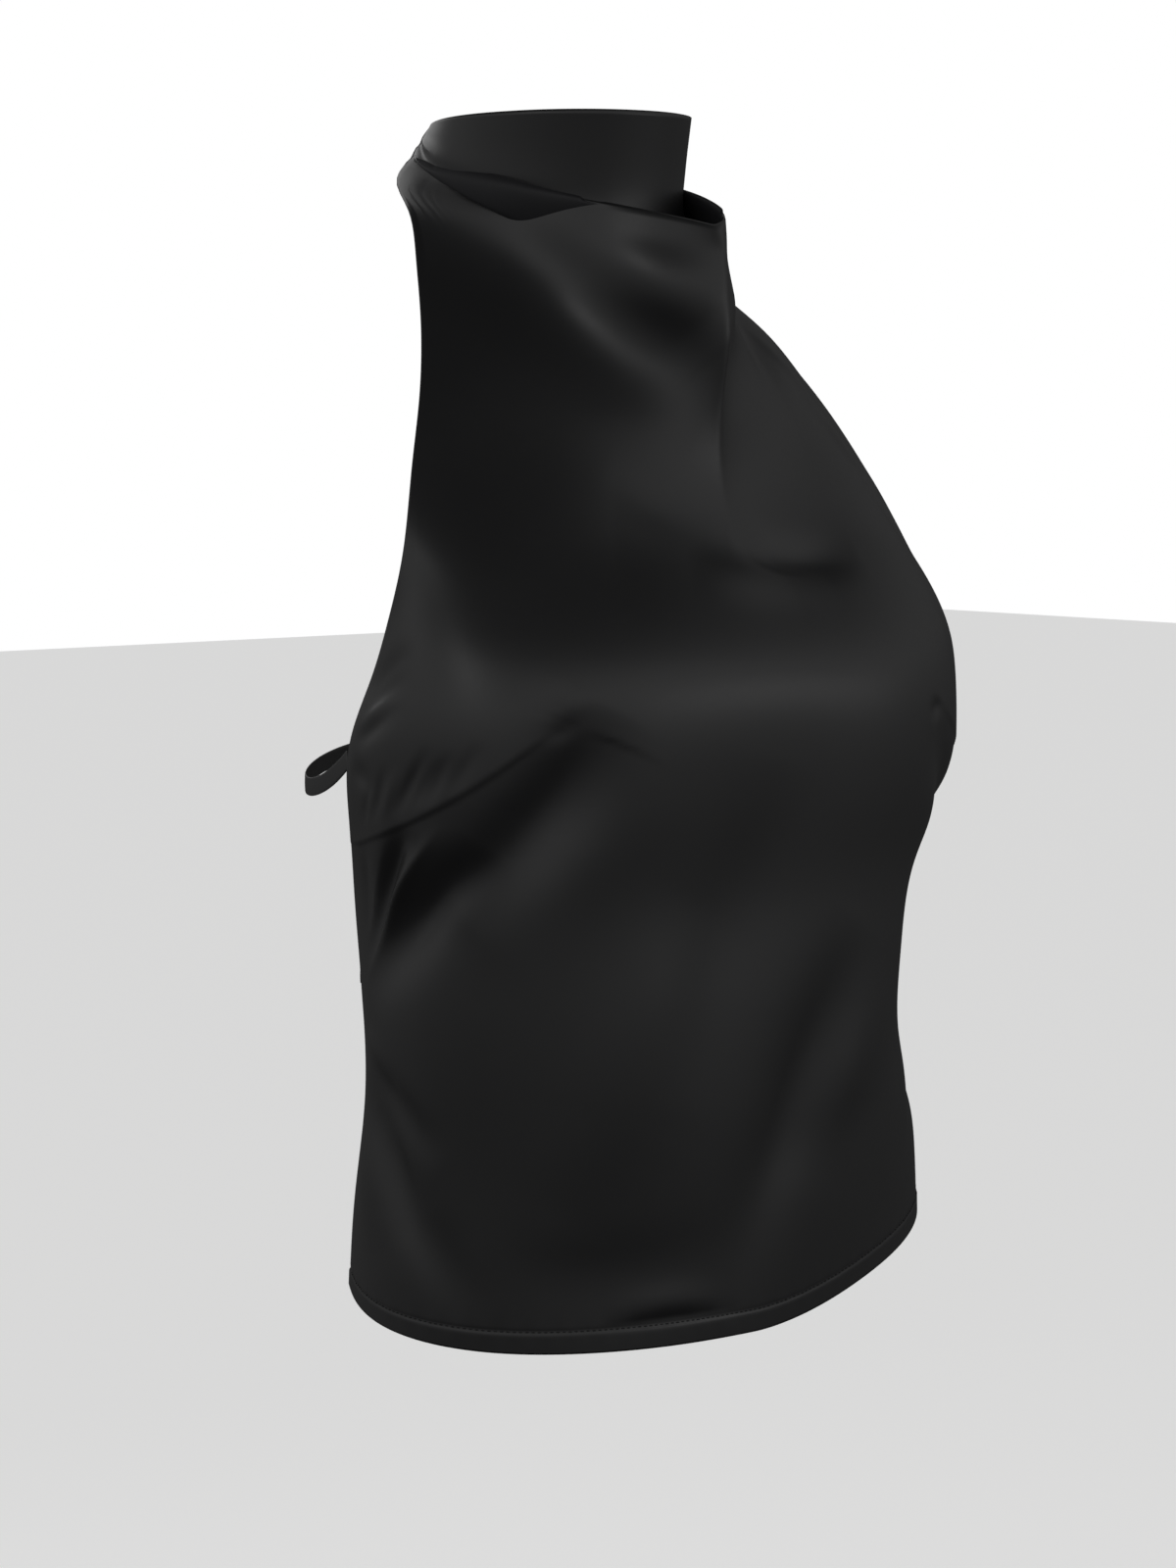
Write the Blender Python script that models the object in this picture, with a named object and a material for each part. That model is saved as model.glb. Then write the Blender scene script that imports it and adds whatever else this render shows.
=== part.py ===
"""Mock neck tank top: one draped satin panel, two nape bands with buttons, and two back straps.

World frame: +Z up, the wearer faces -Y, the wearer's right side is at -X. The origin is the centre of
the neck at the height where the collar rests. Tables and sizes are in millimetres, meshes in metres.
"""
import math
from collections import namedtuple

import bmesh
import bpy
import numpy as np

for old in list(bpy.data.objects):
    bpy.data.objects.remove(old, do_unlink=True)

MM = 0.001

# ---- driving sizes, in millimetres ----
CLOTH_WALL = 1.2          # wall of the single panel, its turned edges averaged in
SEAM_GAP = 0.4            # space left where two pieces are sewn edge to edge
LAYER_GAP = 0.3           # space left where one layer lies on another
PANEL_COLUMNS = 44        # quads across the panel
HEM_LIFT = 28.5           # how much higher the hem hangs over the wearer's left front
HEM_LIFT_FROM = -0.05     # share across where it starts to rise
HEM_LIFT_AT = 0.83        # share across of its highest place
HEM_LIFT_FALL = 0.20      # part of the lift that it loses again at the left edge
STRAP_WIDTH = 8.0
STRAP_THICK = 1.0
BAND_THICK = 2.0          # a nape band is double cloth
BAND_OVERLAP = 14.0       # lap of the two bands at centre back
NECK_SEAM_ANGLE = 51.0    # degrees from centre back to the gathered ends of the panel
BUTTON_RADIUS = 4.0
BUTTON_THICK = 1.8
RING_HEIGHT = 11.7
RING_LENGTH = 9.0
RING_WIRE = 0.65          # wire radius of the ring
RING_CORNER = 1.8
RIDGE_ROUNDING = 0.012    # share of the half width over which the cowl's front ridge is rounded
EDGE_CALM = 0.08          # share of the half width over which the folds die away at the side edges
HEM_LIFT_BELOW = -222.0   # the lift starts here and is full at the hem, 256 mm lower
HEM_LIFT_OVER = 256.0
SLIDER_LENGTH = 12.2
SLIDER_WIRE = 0.6
SLIDER_FROM_RING = 40.0   # along the strap, from the ring's rear bar to the slider's middle bar
SLIDER_OUT = 2.05         # the slider's bars lie this far out of the strap's middle
STRAP_TURN = 25.0         # length in which a strap turns from its edge's slant to upright
TAB_LEG = 7.5             # length of the ring tab's legs
TAB_LEG_OUT = -(CLOTH_WALL + 2 * LAYER_GAP + STRAP_THICK / 2)    # its outer leg, behind the panel's wall
RING_OUT = TAB_LEG_OUT - (STRAP_THICK + LAYER_GAP) / 2           # plane of the ring
RING_PAST = 2.8                                                  # its front bar's distance past the edge
RING_WRAP = RING_WIRE + LAYER_GAP + STRAP_THICK / 2              # bend radius of a strap round its bars
SLIDER_WRAP = SLIDER_WIRE + LAYER_GAP + STRAP_THICK / 2          # the same round the slider's middle bar
HALF_GAP = (STRAP_THICK + LAYER_GAP) / 2                         # two layers' middles, each side of the plane
BUTTON_LEVELS = (0.76, 0.24)                                     # heights of the buttons on the nape band
BUTTON_LIFT = BUTTON_THICK / 2 + LAYER_GAP + 0.15                # middle of a button above its band
UPPER_STRAP_UP = 258.0    # height of the upper strap's middle on the side edge, along the centre front
LOWER_STRAP_UP = 145.0    # the same for the waist strap and its ring

# The leaning cone of the neck, on which the nape bands lie: its lower and upper rings.
NeckRing = namedtuple("NeckRing", "radius y_centre z")
NECK_BASE = NeckRing(63.0, 2.0, 3.0)
NECK_TOP = NeckRing(57.0, -15.0, 26.0)

# Route of each back strap: y and z at centre back, how far it runs on from the side edge and along
# the back before it bends, and how steeply it drops away from the edge.
BackStrap = namedtuple("BackStrap", "y z side_reach back_reach drop")
UPPER_BACK = BackStrap(85.0, -249.0, 80.0, 90.0, 0.30)
LOWER_BACK = BackStrap(46.0, -350.0, 40.0, 60.0, 0.0)

# ---- the panel's level sections, hem to collar top; right and left are the wearer's ----
Section = namedtuple("Section", (
    "name z_centre z_edge rise x_edge y_edge y_centre "
    "right_reach right_dip left_reach left_dip edge_reach right_turn left_turn shift"))
SECTIONS = [Section(*row) for row in (
    ("hem",         -483, -468, 3.0, 129, -22, -151, 130, -7.6, 108,  6.3, 86, 122, 117,  6),
    ("hip",         -430, -426, 3.0, 123, -24, -155, 124, -5.6, 108,  4.9, 91, 128, 113,  2),
    ("low waist",   -385, -382, 3.0, 118, -27, -158, 123, -4.5,  98,  3.6, 97, 133,  96,  1),
    ("waist",       -342, -342, 2.6, 120, -31, -159, 117, -1.3,  97,  1.1,100, 128,  93, -2),
    ("midriff",     -300, -302, 2.4, 129, -38, -158, 117, -0.1, 101,  0.1, 96, 117,  94, -2),
    ("dart",        -262, -270, 2.4, 140, -47, -161, 126, -0.7, 112,  0.6, 87, 110, 104,  0),
    ("bust",        -222, -237, 2.4, 143, -50, -162, 129, -1.2, 122,  1.1, 81, 111, 107,  0),
    ("upper bust",  -196, -207, 2.4, 142, -64, -156,  99, -2.1, 107,  2.3, 72, 112, 113,  0),
    ("chest",       -174, -180, 2.4, 142, -77, -142,  86, -2.4, 105,  2.9, 47, 101, 106,  0),
    ("pit",         -153, -152, 2.2, 139, -83, -128,  58,  0.1,  64,  4.8, 44,  61,  64,  0),
    ("drape 1",     -128, -120, 2.0, 127, -73, -121,  44,  0.9,  23,  9.8, 51,  42,  50,  0),
    ("drape 2",     -102,  -90, 1.8, 112, -59, -120,  36,  4.5,  16, 17.9, 45,  43,  52,  0),
    ("drape 3",      -76,  -60, 1.6,  95, -38, -123,  33, 16.1,  17, 38.6, 39,  58,  75,  0),
    ("drape 4",      -52,  -34, 1.4,  78, -13, -124,  47,   11,  31,   29, 34,  65,  59,  0),
    ("drape 5",      -35,  -12, 1.2,  61,  14, -123,  46,   13,  25,   21, 44,  97, 105,  0),
    ("gather",       -27,    3, 1.1,  48,  40, -121,  49,   12,  31,   20, 52, 115, 126,  0),
    ("lip",          -20,   12, 1.0,  47,  32, -117,  47,    2,  29,    8, 47, 108, 118,  0),
    ("inner lip",    -25,   14, 1.0,  46,  30, -109,  46,    4,  36,    8, 48, 129, 129,  0),
    ("pocket",       -44,   17, 1.0,  46,  28,  -80,  46,    0,  46,    0, 48, 129, 129,  0),
    ("base",         -26,   19, 1.1,  45,  26,  -67,  48,    0,  48,    0, 48, 129, 129,  0),
    ("neck 1",        -8,   21, 1.4,  45,  25,  -65,  49,    0,  49,    0, 49, 129, 129,  0),
    ("neck 2",        11,   23, 1.8,  45,  23,  -68,  48,    0,  48,    0, 48, 129, 129,  0),
    ("top",           30,   26, 2.4,  44,  21,  -72,  48,    0,  48,    0, 48, 129, 129,  0),
)]

# How many rows of quads lie between two sections, so that the darts and the roll are well drawn.
RowBand = namedtuple("RowBand", "first last rows")
ROW_BANDS = [RowBand(*row) for row in (
    ("hem", "midriff", 9),
    ("midriff", "bust", 9),
    ("bust", "pit", 6),
    ("pit", "drape 5", 8),
    ("drape 5", "pocket", 8),
    ("pocket", "top", 6),
)]

# ---- largest folds and the darts: each follows a curve through three points on the panel ----
# across is the share of the way from centre front to the side edge (wearer's left is +), up is mm
# along the centre front from the hem; height is + for a ridge and - for a trough.
Fold = namedtuple("Fold", "name across_1 up_1 across_2 up_2 across_3 up_3 height width")
FOLDS = [Fold(*row) for row in (
    ("cowl band, right",       -0.90, 473, -0.57, 445, -0.10, 397,  5.0, 15),
    ("cowl trough, right",     -0.86, 461, -0.60, 429, -0.40, 384, -5.0, 13),
    ("cowl band, left",         0.90, 473,  0.62, 445,  0.30, 409,  3.0, 13),
    ("cowl trough, left",       0.86, 461,  0.66, 429,  0.42, 389, -3.0, 12),
    ("lower drape, right",     -0.40, 380, -0.24, 357, -0.04, 339, -3.0, 13),
    ("lower drape, left",       0.00, 337,  0.20, 329,  0.55, 333, -3.0, 12),
    ("below drape",            -0.14, 325,  0.06, 319,  0.30, 317,  2.0, 10),
    ("dart, right",            -1.00, 214, -0.76, 231, -0.50, 265, -1.6, 4),
    ("dart, left",              1.00, 214,  0.76, 231,  0.50, 265, -1.6, 4),
    ("under dart, right",      -0.48, 259, -0.62, 212, -0.98, 149, -5.0, 17),
    ("under dart, left",        0.48, 259,  0.62, 212,  0.98, 149, -4.0, 16),
    ("ring ridge, right",      -0.99, 149, -0.90, 187, -0.78, 225,  3.0, 9),
    ("ring ridge, left",        0.99, 149,  0.90, 187,  0.78, 225,  2.6, 9),
    ("below ring, right",      -0.99, 133, -0.84, 107, -0.66, 67,  -2.6, 12),
    ("below ring, left",        0.99, 133,  0.86, 111,  0.70, 77,  -2.2, 12),
    ("hem side, left",          0.10,  97, -0.06, 69,  -0.24, 33,  -2.4, 16),
)]
FOLD_SAMPLES = 40

# ---- route of the strap's long layer over the slider: mm along the strap and out from it ----
LONG_LAYER = ((-9.0, 0.65), (-5.5, 0.65), (-4.2, 1.35), (-2.7, 3.2), (-1.3, 4.55), (0.0, 4.9),
              (1.3, 4.55), (2.7, 3.2), (4.2, 1.35), (5.5, 0.65), (9.0, 0.65), (14.0, 0.65))


def natural_spline(values, at):
    """Natural cubic spline through values at 0, 1, 2...: second slopes from the usual (1, 4, 1) system."""
    values = np.asarray(values, float)
    count = len(values)
    system, right = np.eye(count), np.zeros(count)
    for i in range(1, count - 1):
        system[i, i - 1:i + 2] = 1, 4, 1
        right[i] = 6 * (values[i + 1] - 2 * values[i] + values[i - 1])
    bend = np.linalg.solve(system, right)
    i = np.clip(np.floor(at).astype(int), 0, count - 2)
    s = at - i
    return ((bend[i] * (1 - s) ** 3 + bend[i + 1] * s ** 3) / 6
            + (values[i] - bend[i] / 6) * (1 - s) + (values[i + 1] - bend[i + 1] / 6) * s)


def bezier(p0, p1, p2, p3, samples=160):
    """Cubic curve from p0 to p3 that leaves towards p1 and arrives from p2."""
    s = np.linspace(0, 1, samples)[:, None]
    return (1 - s) ** 3 * p0 + 3 * (1 - s) ** 2 * s * p1 + 3 * (1 - s) * s * s * p2 + s ** 3 * p3


def lengths(line):
    """Length along a line of points, from its start to each point."""
    return np.concatenate([[0.0], np.cumsum(np.linalg.norm(np.diff(line, axis=0), axis=1))])


def along_line(line, distance):
    """Points at the given distances along a line of points."""
    run = lengths(line)
    return np.stack([np.interp(distance, run, line[:, k]) for k in range(line.shape[1])], 1)


def section_number(name):
    return [section.name for section in SECTIONS].index(name)


def panel_surface(numbers, across):
    """Outer face of the panel, in mm, with the cowl's front ridge rounded over.

    Each point is averaged with those a little to its left and right, less and less near the edges.
    """
    reach = RIDGE_ROUNDING * np.clip((1 - np.abs(across)) / 0.1, 0, 1)
    points, wide = sharp_surface(numbers, across)
    before, _ = sharp_surface(numbers, across - reach)
    after, _ = sharp_surface(numbers, across + reach)
    return (before + 2 * points + after) / 4, wide


def sharp_surface(numbers, across):
    """Rows of the panel, one for each section number, with one column for each share across.

    Each row is a plan curve from centre front to both edges, spaced by its length, whose height goes
    from z_centre to z_edge as |share| ** rise. The hem lifts smoothly over the wearer's left front.
    Returns the points, and the distance of each from centre front.
    """
    columns = np.array([section[1:] for section in SECTIONS], float)
    numbers = np.asarray(numbers, float)
    blended = np.stack([natural_spline(columns[:, k], numbers) for k in range(columns.shape[1])], 1)
    points = np.zeros((len(numbers), len(across), 3))
    wide = np.zeros((len(numbers), len(across)))
    for j, values in enumerate(blended):
        row = Section("", *values)
        edge = np.array([row.x_edge, row.y_edge])
        start = np.array([0.0, row.y_centre])
        for side, reach, dip, turn in ((-1, row.right_reach, row.right_dip, math.radians(row.right_turn)),
                                       (1, row.left_reach, row.left_dip, math.radians(row.left_turn))):
            before_edge = edge - row.edge_reach * np.array([math.cos(turn), math.sin(turn)])
            mine = across * side >= 0 if side > 0 else across < 0
            curve = bezier(start, start + (reach, dip), before_edge, edge)
            total = lengths(curve)[-1]
            plan = along_line(curve, np.abs(across[mine]) * total)
            points[j, mine, 0] = side * plan[:, 0] + row.shift
            points[j, mine, 1] = plan[:, 1]
            wide[j, mine] = across[mine] * total
        lift = HEM_LIFT * np.clip((HEM_LIFT_BELOW - row.z_centre) / HEM_LIFT_OVER, 0, 1)
        lifted = np.clip((across - HEM_LIFT_FROM) / (HEM_LIFT_AT - HEM_LIFT_FROM), 0, 1)
        rising = np.sin(math.pi / 2 * lifted) ** 1.5
        falling = np.sin(math.pi / 2 * np.clip((across - HEM_LIFT_AT) / (1 - HEM_LIFT_AT), 0, 1)) ** 2
        points[j, :, 2] = (row.z_centre + (row.z_edge - row.z_centre) * np.abs(across) ** row.rise
                           + lift * (rising - HEM_LIFT_FALL * falling))
    return points, wide


def up_the_front(numbers):
    """Length along the centre front, in mm, from the hem to each section number."""
    fine = np.linspace(0, len(SECTIONS) - 1, 441)
    middle, _ = panel_surface(fine, np.array([0.0]))
    return np.interp(numbers, fine, lengths(middle[:, 0]))


def number_at(up):
    """Section number at a length up the centre front."""
    fine = np.linspace(0, len(SECTIONS) - 1, 441)
    return float(np.interp(up, up_the_front(fine), fine))


def fold_height(wide, up, half_width):
    """Sum of the folds at each point of the flat panel, in mm out of its face.

    A fold is a smooth bell across its curve, and swells and dies away along it.
    """
    total = np.zeros_like(wide)
    for fold in FOLDS:
        share = np.linspace(0, 1, FOLD_SAMPLES)
        line_across = natural_spline((fold.across_1, fold.across_2, fold.across_3), share * 2)
        line_up = natural_spline((fold.up_1, fold.up_2, fold.up_3), share * 2)
        line_wide = line_across * np.interp(line_up, up[:, 0], half_width)
        away = np.hypot(wide[..., None] - line_wide, up[..., None] - line_up)
        nearest = share[np.argmin(away, axis=-1)]
        swell = np.sin(math.pi * np.clip(nearest, 0.04, 0.96)) ** 0.6
        total += fold.height * swell * np.exp(-(np.min(away, axis=-1) / fold.width) ** 2)
    return total


def grid_normals(points):
    """Unit normals of a grid of points, pointing out of the face side."""
    out = np.cross(np.gradient(points, axis=1), np.gradient(points, axis=0))
    return out / np.maximum(np.linalg.norm(out, axis=-1, keepdims=True), 1e-9)


def folded_panel(numbers, across):
    """The panel's outer face with its folds, and its normals, in mm."""
    points, wide = panel_surface(numbers, across)
    up = np.repeat(up_the_front(numbers)[:, None], len(across), axis=1)
    height = fold_height(wide, up, np.abs(wide).max(axis=1))
    fade = np.clip((1 - np.abs(across)) / EDGE_CALM, 0, 1)
    points = points + grid_normals(points) * (height * fade)[..., None]
    return points, grid_normals(points)


def new_material(name, colour, roughness, metallic=0.0):
    material = bpy.data.materials.new(name)
    material.use_nodes = True
    shader = material.node_tree.nodes["Principled BSDF"]
    shader.inputs["Base Color"].default_value = (*colour, 1.0)
    shader.inputs["Roughness"].default_value = roughness
    shader.inputs["Metallic"].default_value = metallic
    return material


def new_object(name, vertices, faces, material, parent, location=None):
    """One smooth-shaded mesh object from points in mm, moved to its location."""
    centre = np.zeros(3) if location is None else np.asarray(location, float)
    mesh = bpy.data.meshes.new(name)
    mesh.from_pydata(((np.asarray(vertices) - centre) * MM).tolist(), [], [list(face) for face in faces])
    work = bmesh.new()
    work.from_mesh(mesh)
    bmesh.ops.recalc_face_normals(work, faces=work.faces)
    work.to_mesh(mesh)
    work.free()
    mesh.shade_smooth()
    mesh.set_sharp_from_angle(angle=math.radians(40))
    mesh.materials.append(material)
    made = bpy.data.objects.new(name, mesh)
    made.location = centre * MM
    made.parent = parent
    bpy.context.scene.collection.objects.link(made)
    return made


def walled_grid(outer, inner):
    """Closed shell between two grids of points: both faces, joined round the rim."""
    rows, columns = outer.shape[:2]
    index = np.arange(rows * columns).reshape(rows, columns)
    quads = np.stack([index[:-1, :-1], index[:-1, 1:], index[1:, 1:], index[1:, :-1]], -1).reshape(-1, 4)
    rim = np.concatenate([index[0, :], index[1:, -1], index[-1, -2::-1], index[-2:0:-1, 0]])
    following = np.roll(rim, -1)
    below = rows * columns
    edge = np.stack([rim, rim + below, following + below, following], -1)
    faces = np.concatenate([quads, quads[:, ::-1] + below, edge])
    return np.concatenate([outer.reshape(-1, 3), inner.reshape(-1, 3)]), faces


def ribbon(lower, upper, thick):
    """Flat band between two rails, with its thickness shared to both sides: points and faces."""
    middle = (lower + upper) / 2
    forward = np.gradient(middle, axis=0)
    out = np.cross(forward, upper - lower)
    out *= thick / 2 / np.linalg.norm(out, axis=1, keepdims=True)
    corners = np.stack([lower + out, upper + out, upper - out, lower - out], 1)
    count = len(middle)
    index = np.arange(count * 4).reshape(count, 4)
    turned = np.roll(index, -1, axis=1)
    sides = np.stack([index[:-1], turned[:-1], turned[1:], index[1:]], -1).reshape(-1, 4)
    faces = [*sides.tolist(), index[0, ::-1].tolist(), index[-1].tolist()]
    return corners.reshape(-1, 3), faces


def closed_wire(length, height, corner, radius, sides=8, steps=5):
    """Rounded rectangle of round wire in the plane of X (length) and Z (height), about the origin."""
    half_length, half_height = length / 2 - radius, height / 2 - radius
    path, aim = [], []
    for number, (cx, cz) in enumerate(((1, 1), (-1, 1), (-1, -1), (1, -1))):
        for turn in np.linspace(0, math.pi / 2, steps):
            angle = number * math.pi / 2 + turn
            path.append((cx * (half_length - corner) + corner * math.cos(angle), 0,
                         cz * (half_height - corner) + corner * math.sin(angle)))
            aim.append((math.cos(angle), 0, math.sin(angle)))
    path, aim = np.array(path), np.array(aim)
    round_angle = np.arange(sides) * 2 * math.pi / sides
    points = (path[:, None] + radius * (np.cos(round_angle)[:, None] * aim[:, None]
                                        + np.sin(round_angle)[:, None] * np.array([0, 1, 0])))
    count = len(path)
    index = np.arange(count * sides).reshape(count, sides)
    following, turned = np.roll(index, -1, axis=0), np.roll(index, -1, axis=1)
    faces = np.stack([index, following, np.roll(following, -1, axis=1), turned], -1).reshape(-1, 4)
    return points.reshape(-1, 3), faces


def edge_frame(up, side):
    """Middle of the wall at a side edge, with unit vectors on past it, out of it and up it."""
    number = number_at(up)
    shares = np.array([0.99, 1.0]) if side > 0 else np.array([-1.0, -0.99])
    points, normals = folded_panel(np.array([number - 0.05, number, number + 0.05]), shares)
    at = 1 if side > 0 else 0
    past = (points[1, 1] - points[1, 0]) * side
    rise = points[2, at] - points[0, at]
    past, rise = past / np.linalg.norm(past), rise / np.linalg.norm(rise)
    out = np.cross(rise, past) * -side
    out /= np.linalg.norm(out)
    return points[1, at], past, out, rise


# ---- front panel with its grown-on cowl and mock collar ----
top = bpy.data.objects.new("tank_top", None)
bpy.context.scene.collection.objects.link(top)

satin = new_material("charcoal satin", (0.020, 0.020, 0.021), 0.34)
strap_satin = new_material("charcoal satin strap", (0.024, 0.024, 0.025), 0.38)
nickel = new_material("polished nickel", (0.72, 0.71, 0.69), 0.22, 1.0)
resin = new_material("black resin button", (0.015, 0.015, 0.016), 0.30)

row_numbers = np.unique(np.concatenate([
    np.linspace(section_number(band.first), section_number(band.last), band.rows + 1)
    for band in ROW_BANDS]))
shares = np.linspace(-1, 1, PANEL_COLUMNS + 1)
face_side, face_normals = folded_panel(row_numbers, shares)
vertices, faces = walled_grid(face_side, face_side - CLOTH_WALL * face_normals)
new_object("front_panel", vertices, faces, satin, top)


# ---- nape bands: arcs of the leaning neck cone from the gathers to centre back ----
def neck_cone(angle, level, out=0.0):
    """Points of the neck cone: angle from centre back in degrees (wearer's left is +), level 0 to 1."""
    radius, y_centre, z = (a + (b - a) * level for a, b in zip(NECK_BASE, NECK_TOP))
    turn = np.radians(angle)
    return np.stack([(radius + out) * np.sin(turn), y_centre + (radius + out) * np.cos(turn),
                     np.full_like(turn, z)], -1)


def nape_band(name, side, lap, out):
    """One nape band, from just behind the panel's gathered edge to its end past or short of centre back.

    It leaves the edge's own points and settles on the neck cone; out is how far it has moved out by then.
    """
    levels = np.linspace(0.04, 1.0, 4)
    numbers = section_number("gather") + levels * (section_number("top") - section_number("gather"))
    edge_shares = np.array([0.97, 1.0]) * side if side > 0 else np.array([-1.0, -0.97])
    rim, _ = folded_panel(numbers, edge_shares)
    rim_edge, rim_before = (rim[:, 1], rim[:, 0]) if side > 0 else (rim[:, 0], rim[:, 1])
    onward = rim_edge - rim_before
    onward[:, 2] = 0
    onward /= np.linalg.norm(onward, axis=1, keepdims=True)
    first = rim_edge + onward * 2 * SEAM_GAP
    heights = np.clip((first[:, 2] - NECK_BASE.z) / (NECK_TOP.z - NECK_BASE.z), 0, 1)
    angles = side * np.linspace(NECK_SEAM_ANGLE, lap / NECK_BASE.radius * 180 / math.pi, 15)
    share = np.linspace(0, 1, 15)
    easing = np.clip(share * 1.6, 0, 1)
    away = out * easing * easing * (3 - 2 * easing) - CLOTH_WALL / 2
    grids = []
    for offset in (BAND_THICK / 2, -BAND_THICK / 2):
        rows = []
        for level, height, start in zip(levels, heights, first):
            blended = height + (level - height) * np.clip(share * 2, 0, 1)
            line = neck_cone(angles, blended, away + offset)
            base = neck_cone(angles[:1], height, 0.0)[0]
            rows.append(line + (start - base) * ((1 - np.clip(share * 2.5, 0, 1)) ** 2)[:, None])
        grids.append(np.array(rows))
    points, quads = walled_grid(*grids)
    new_object(name, points, quads, satin, top)


nape_band("nape_band_right", -1, -BAND_OVERLAP / 2, BAND_THICK + LAYER_GAP)
nape_band("nape_band_left", 1, -BAND_OVERLAP / 2, 0.0)

# ---- buttons on the upper nape band ----
lean = math.atan2(NECK_BASE.radius + NECK_BASE.y_centre - NECK_TOP.radius - NECK_TOP.y_centre,
                  NECK_TOP.z - NECK_BASE.z)
outwards = np.array([0.0, math.cos(lean), math.sin(lean)])
for number, level in enumerate(BUTTON_LEVELS, 1):
    seat = neck_cone(np.array([0.0]), level, BAND_THICK + LAYER_GAP - CLOTH_WALL / 2 + BAND_THICK / 2)[0]
    work = bmesh.new()
    bmesh.ops.create_cone(work, cap_ends=True, segments=20, radius1=BUTTON_RADIUS * MM,
                          radius2=BUTTON_RADIUS * MM, depth=BUTTON_THICK * MM)
    mesh = bpy.data.meshes.new(f"nape_button_{number}")
    work.to_mesh(mesh)
    work.free()
    mesh.materials.append(resin)
    button = bpy.data.objects.new(f"nape_button_{number}", mesh)
    button.location = (seat + outwards * BUTTON_LIFT) * MM
    button.rotation_euler = (lean - math.pi / 2, 0, 0)
    button.parent = top
    rounding = button.modifiers.new("rounded rim", "BEVEL")
    rounding.width, rounding.segments = 0.5 * MM, 2
    bpy.context.scene.collection.objects.link(button)


# ---- straps ----
def round_the_back(start, start_past, end, end_past, back):
    """Line in space from one side edge round the back to the other, level at centre back."""
    middle = np.array([0.0, back.y, back.z])
    sideways = np.array([back.back_reach, 0.0, 0.0])
    drop = np.array([0.0, 0.0, -back.drop])
    right = bezier(start, start + (start_past + drop) * back.side_reach, middle - sideways, middle)
    left = bezier(middle, middle + sideways, end + (end_past + drop) * back.side_reach, end)
    return np.concatenate([right, left[1:]])


def strap_rails(line, across_start, across_end, width, steps):
    """Even points along a line, with rails that turn from each end's slant to upright in between."""
    run = lengths(line)[-1]
    distance = np.concatenate([np.linspace(0, STRAP_TURN, 6),
                               np.linspace(STRAP_TURN, run - STRAP_TURN, steps)[1:-1],
                               np.linspace(run - STRAP_TURN, run, 6)])
    middle = along_line(line, distance)
    upright = np.array([0.0, 0.0, 1.0])
    start_share = np.clip(1 - distance / STRAP_TURN, 0, 1)[:, None]
    end_share = np.clip(1 - (run - distance) / STRAP_TURN, 0, 1)[:, None]
    across = across_start * start_share + across_end * end_share + upright * (1 - start_share - end_share)
    across /= np.linalg.norm(across, axis=1, keepdims=True)
    return middle - across * width / 2, middle + across * width / 2


edges = {side: edge_frame(UPPER_STRAP_UP, side) for side in (-1, 1)}
ends = {side: point + past * SEAM_GAP - out * CLOTH_WALL / 2 for side, (point, past, out, _) in edges.items()}
route = round_the_back(ends[-1], edges[-1][1], ends[1], edges[1][1], UPPER_BACK)
rails = strap_rails(route, edges[-1][3], edges[1][3], STRAP_WIDTH, 26)
new_object("upper_strap", *ribbon(*rails, STRAP_THICK), strap_satin, top)

# ---- ring, its tab, the waist strap and its slider, in the frame of the right edge ----
edge, past, out, rise = edge_frame(LOWER_STRAP_UP, -1)
bar_spacing = RING_LENGTH - 2 * RING_WIRE


def hairpin(leg, wrap, steps=9):
    """Doubled line round a bar at (0, 0), in mm along and out: one leg, half a turn, the other leg."""
    turn = np.radians(np.linspace(90, -90, steps))
    bend = np.stack([wrap * np.cos(turn), wrap * np.sin(turn)], 1)
    upper = np.array([(-leg, HALF_GAP), (-0.6 * leg, HALF_GAP),
                      (-1.5 * wrap, HALF_GAP + 0.35 * (wrap - HALF_GAP))])
    return np.concatenate([upper, bend, upper[::-1] * (1, -1)])


tab = hairpin(TAB_LEG, RING_WRAP)
tab_middle = edge + np.outer(tab[:, 0] + RING_PAST, past) + np.outer(tab[:, 1] + RING_OUT, out)
tab_points, tab_faces = ribbon(tab_middle - rise * STRAP_WIDTH / 2, tab_middle + rise * STRAP_WIDTH / 2,
                               STRAP_THICK)
new_object("ring_tab", tab_points, tab_faces, strap_satin, top)

ring_centre = edge + past * (RING_PAST + bar_spacing / 2) + out * RING_OUT
ring_points, ring_faces = closed_wire(RING_LENGTH, RING_HEIGHT, RING_CORNER, RING_WIRE)
turned = ring_points[:, :1] * past + ring_points[:, 1:2] * out + ring_points[:, 2:] * rise
new_object("strap_ring", turned + ring_centre, ring_faces, nickel, top, ring_centre)

rear_bar = ring_centre + past * bar_spacing / 2
left_edge, left_past, left_out, left_rise = edge_frame(LOWER_STRAP_UP, 1)
left_end = left_edge + left_past * SEAM_GAP - left_out * CLOTH_WALL / 2
waist_route = round_the_back(rear_bar, past, left_end, left_past, LOWER_BACK)


def beside_route(line, along, outward):
    """Points at a distance along a line and out from it, away from the body; before its start it is straight."""
    run = lengths(line)[-1]
    here = along_line(line, np.clip(along, 0, run))
    forward = along_line(line, np.clip(along, 0, run - 1) + 1) - along_line(line, np.clip(along, 0, run - 1))
    forward /= np.linalg.norm(forward, axis=1, keepdims=True)
    level = np.array([0.0, 0.0, 1.0])
    aside = np.cross(level, forward)
    aside /= np.linalg.norm(aside, axis=1, keepdims=True)
    here = here + forward * np.clip(along, None, 0)[:, None]
    return here + aside * np.asarray(outward)[:, None], np.cross(forward, aside)


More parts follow.
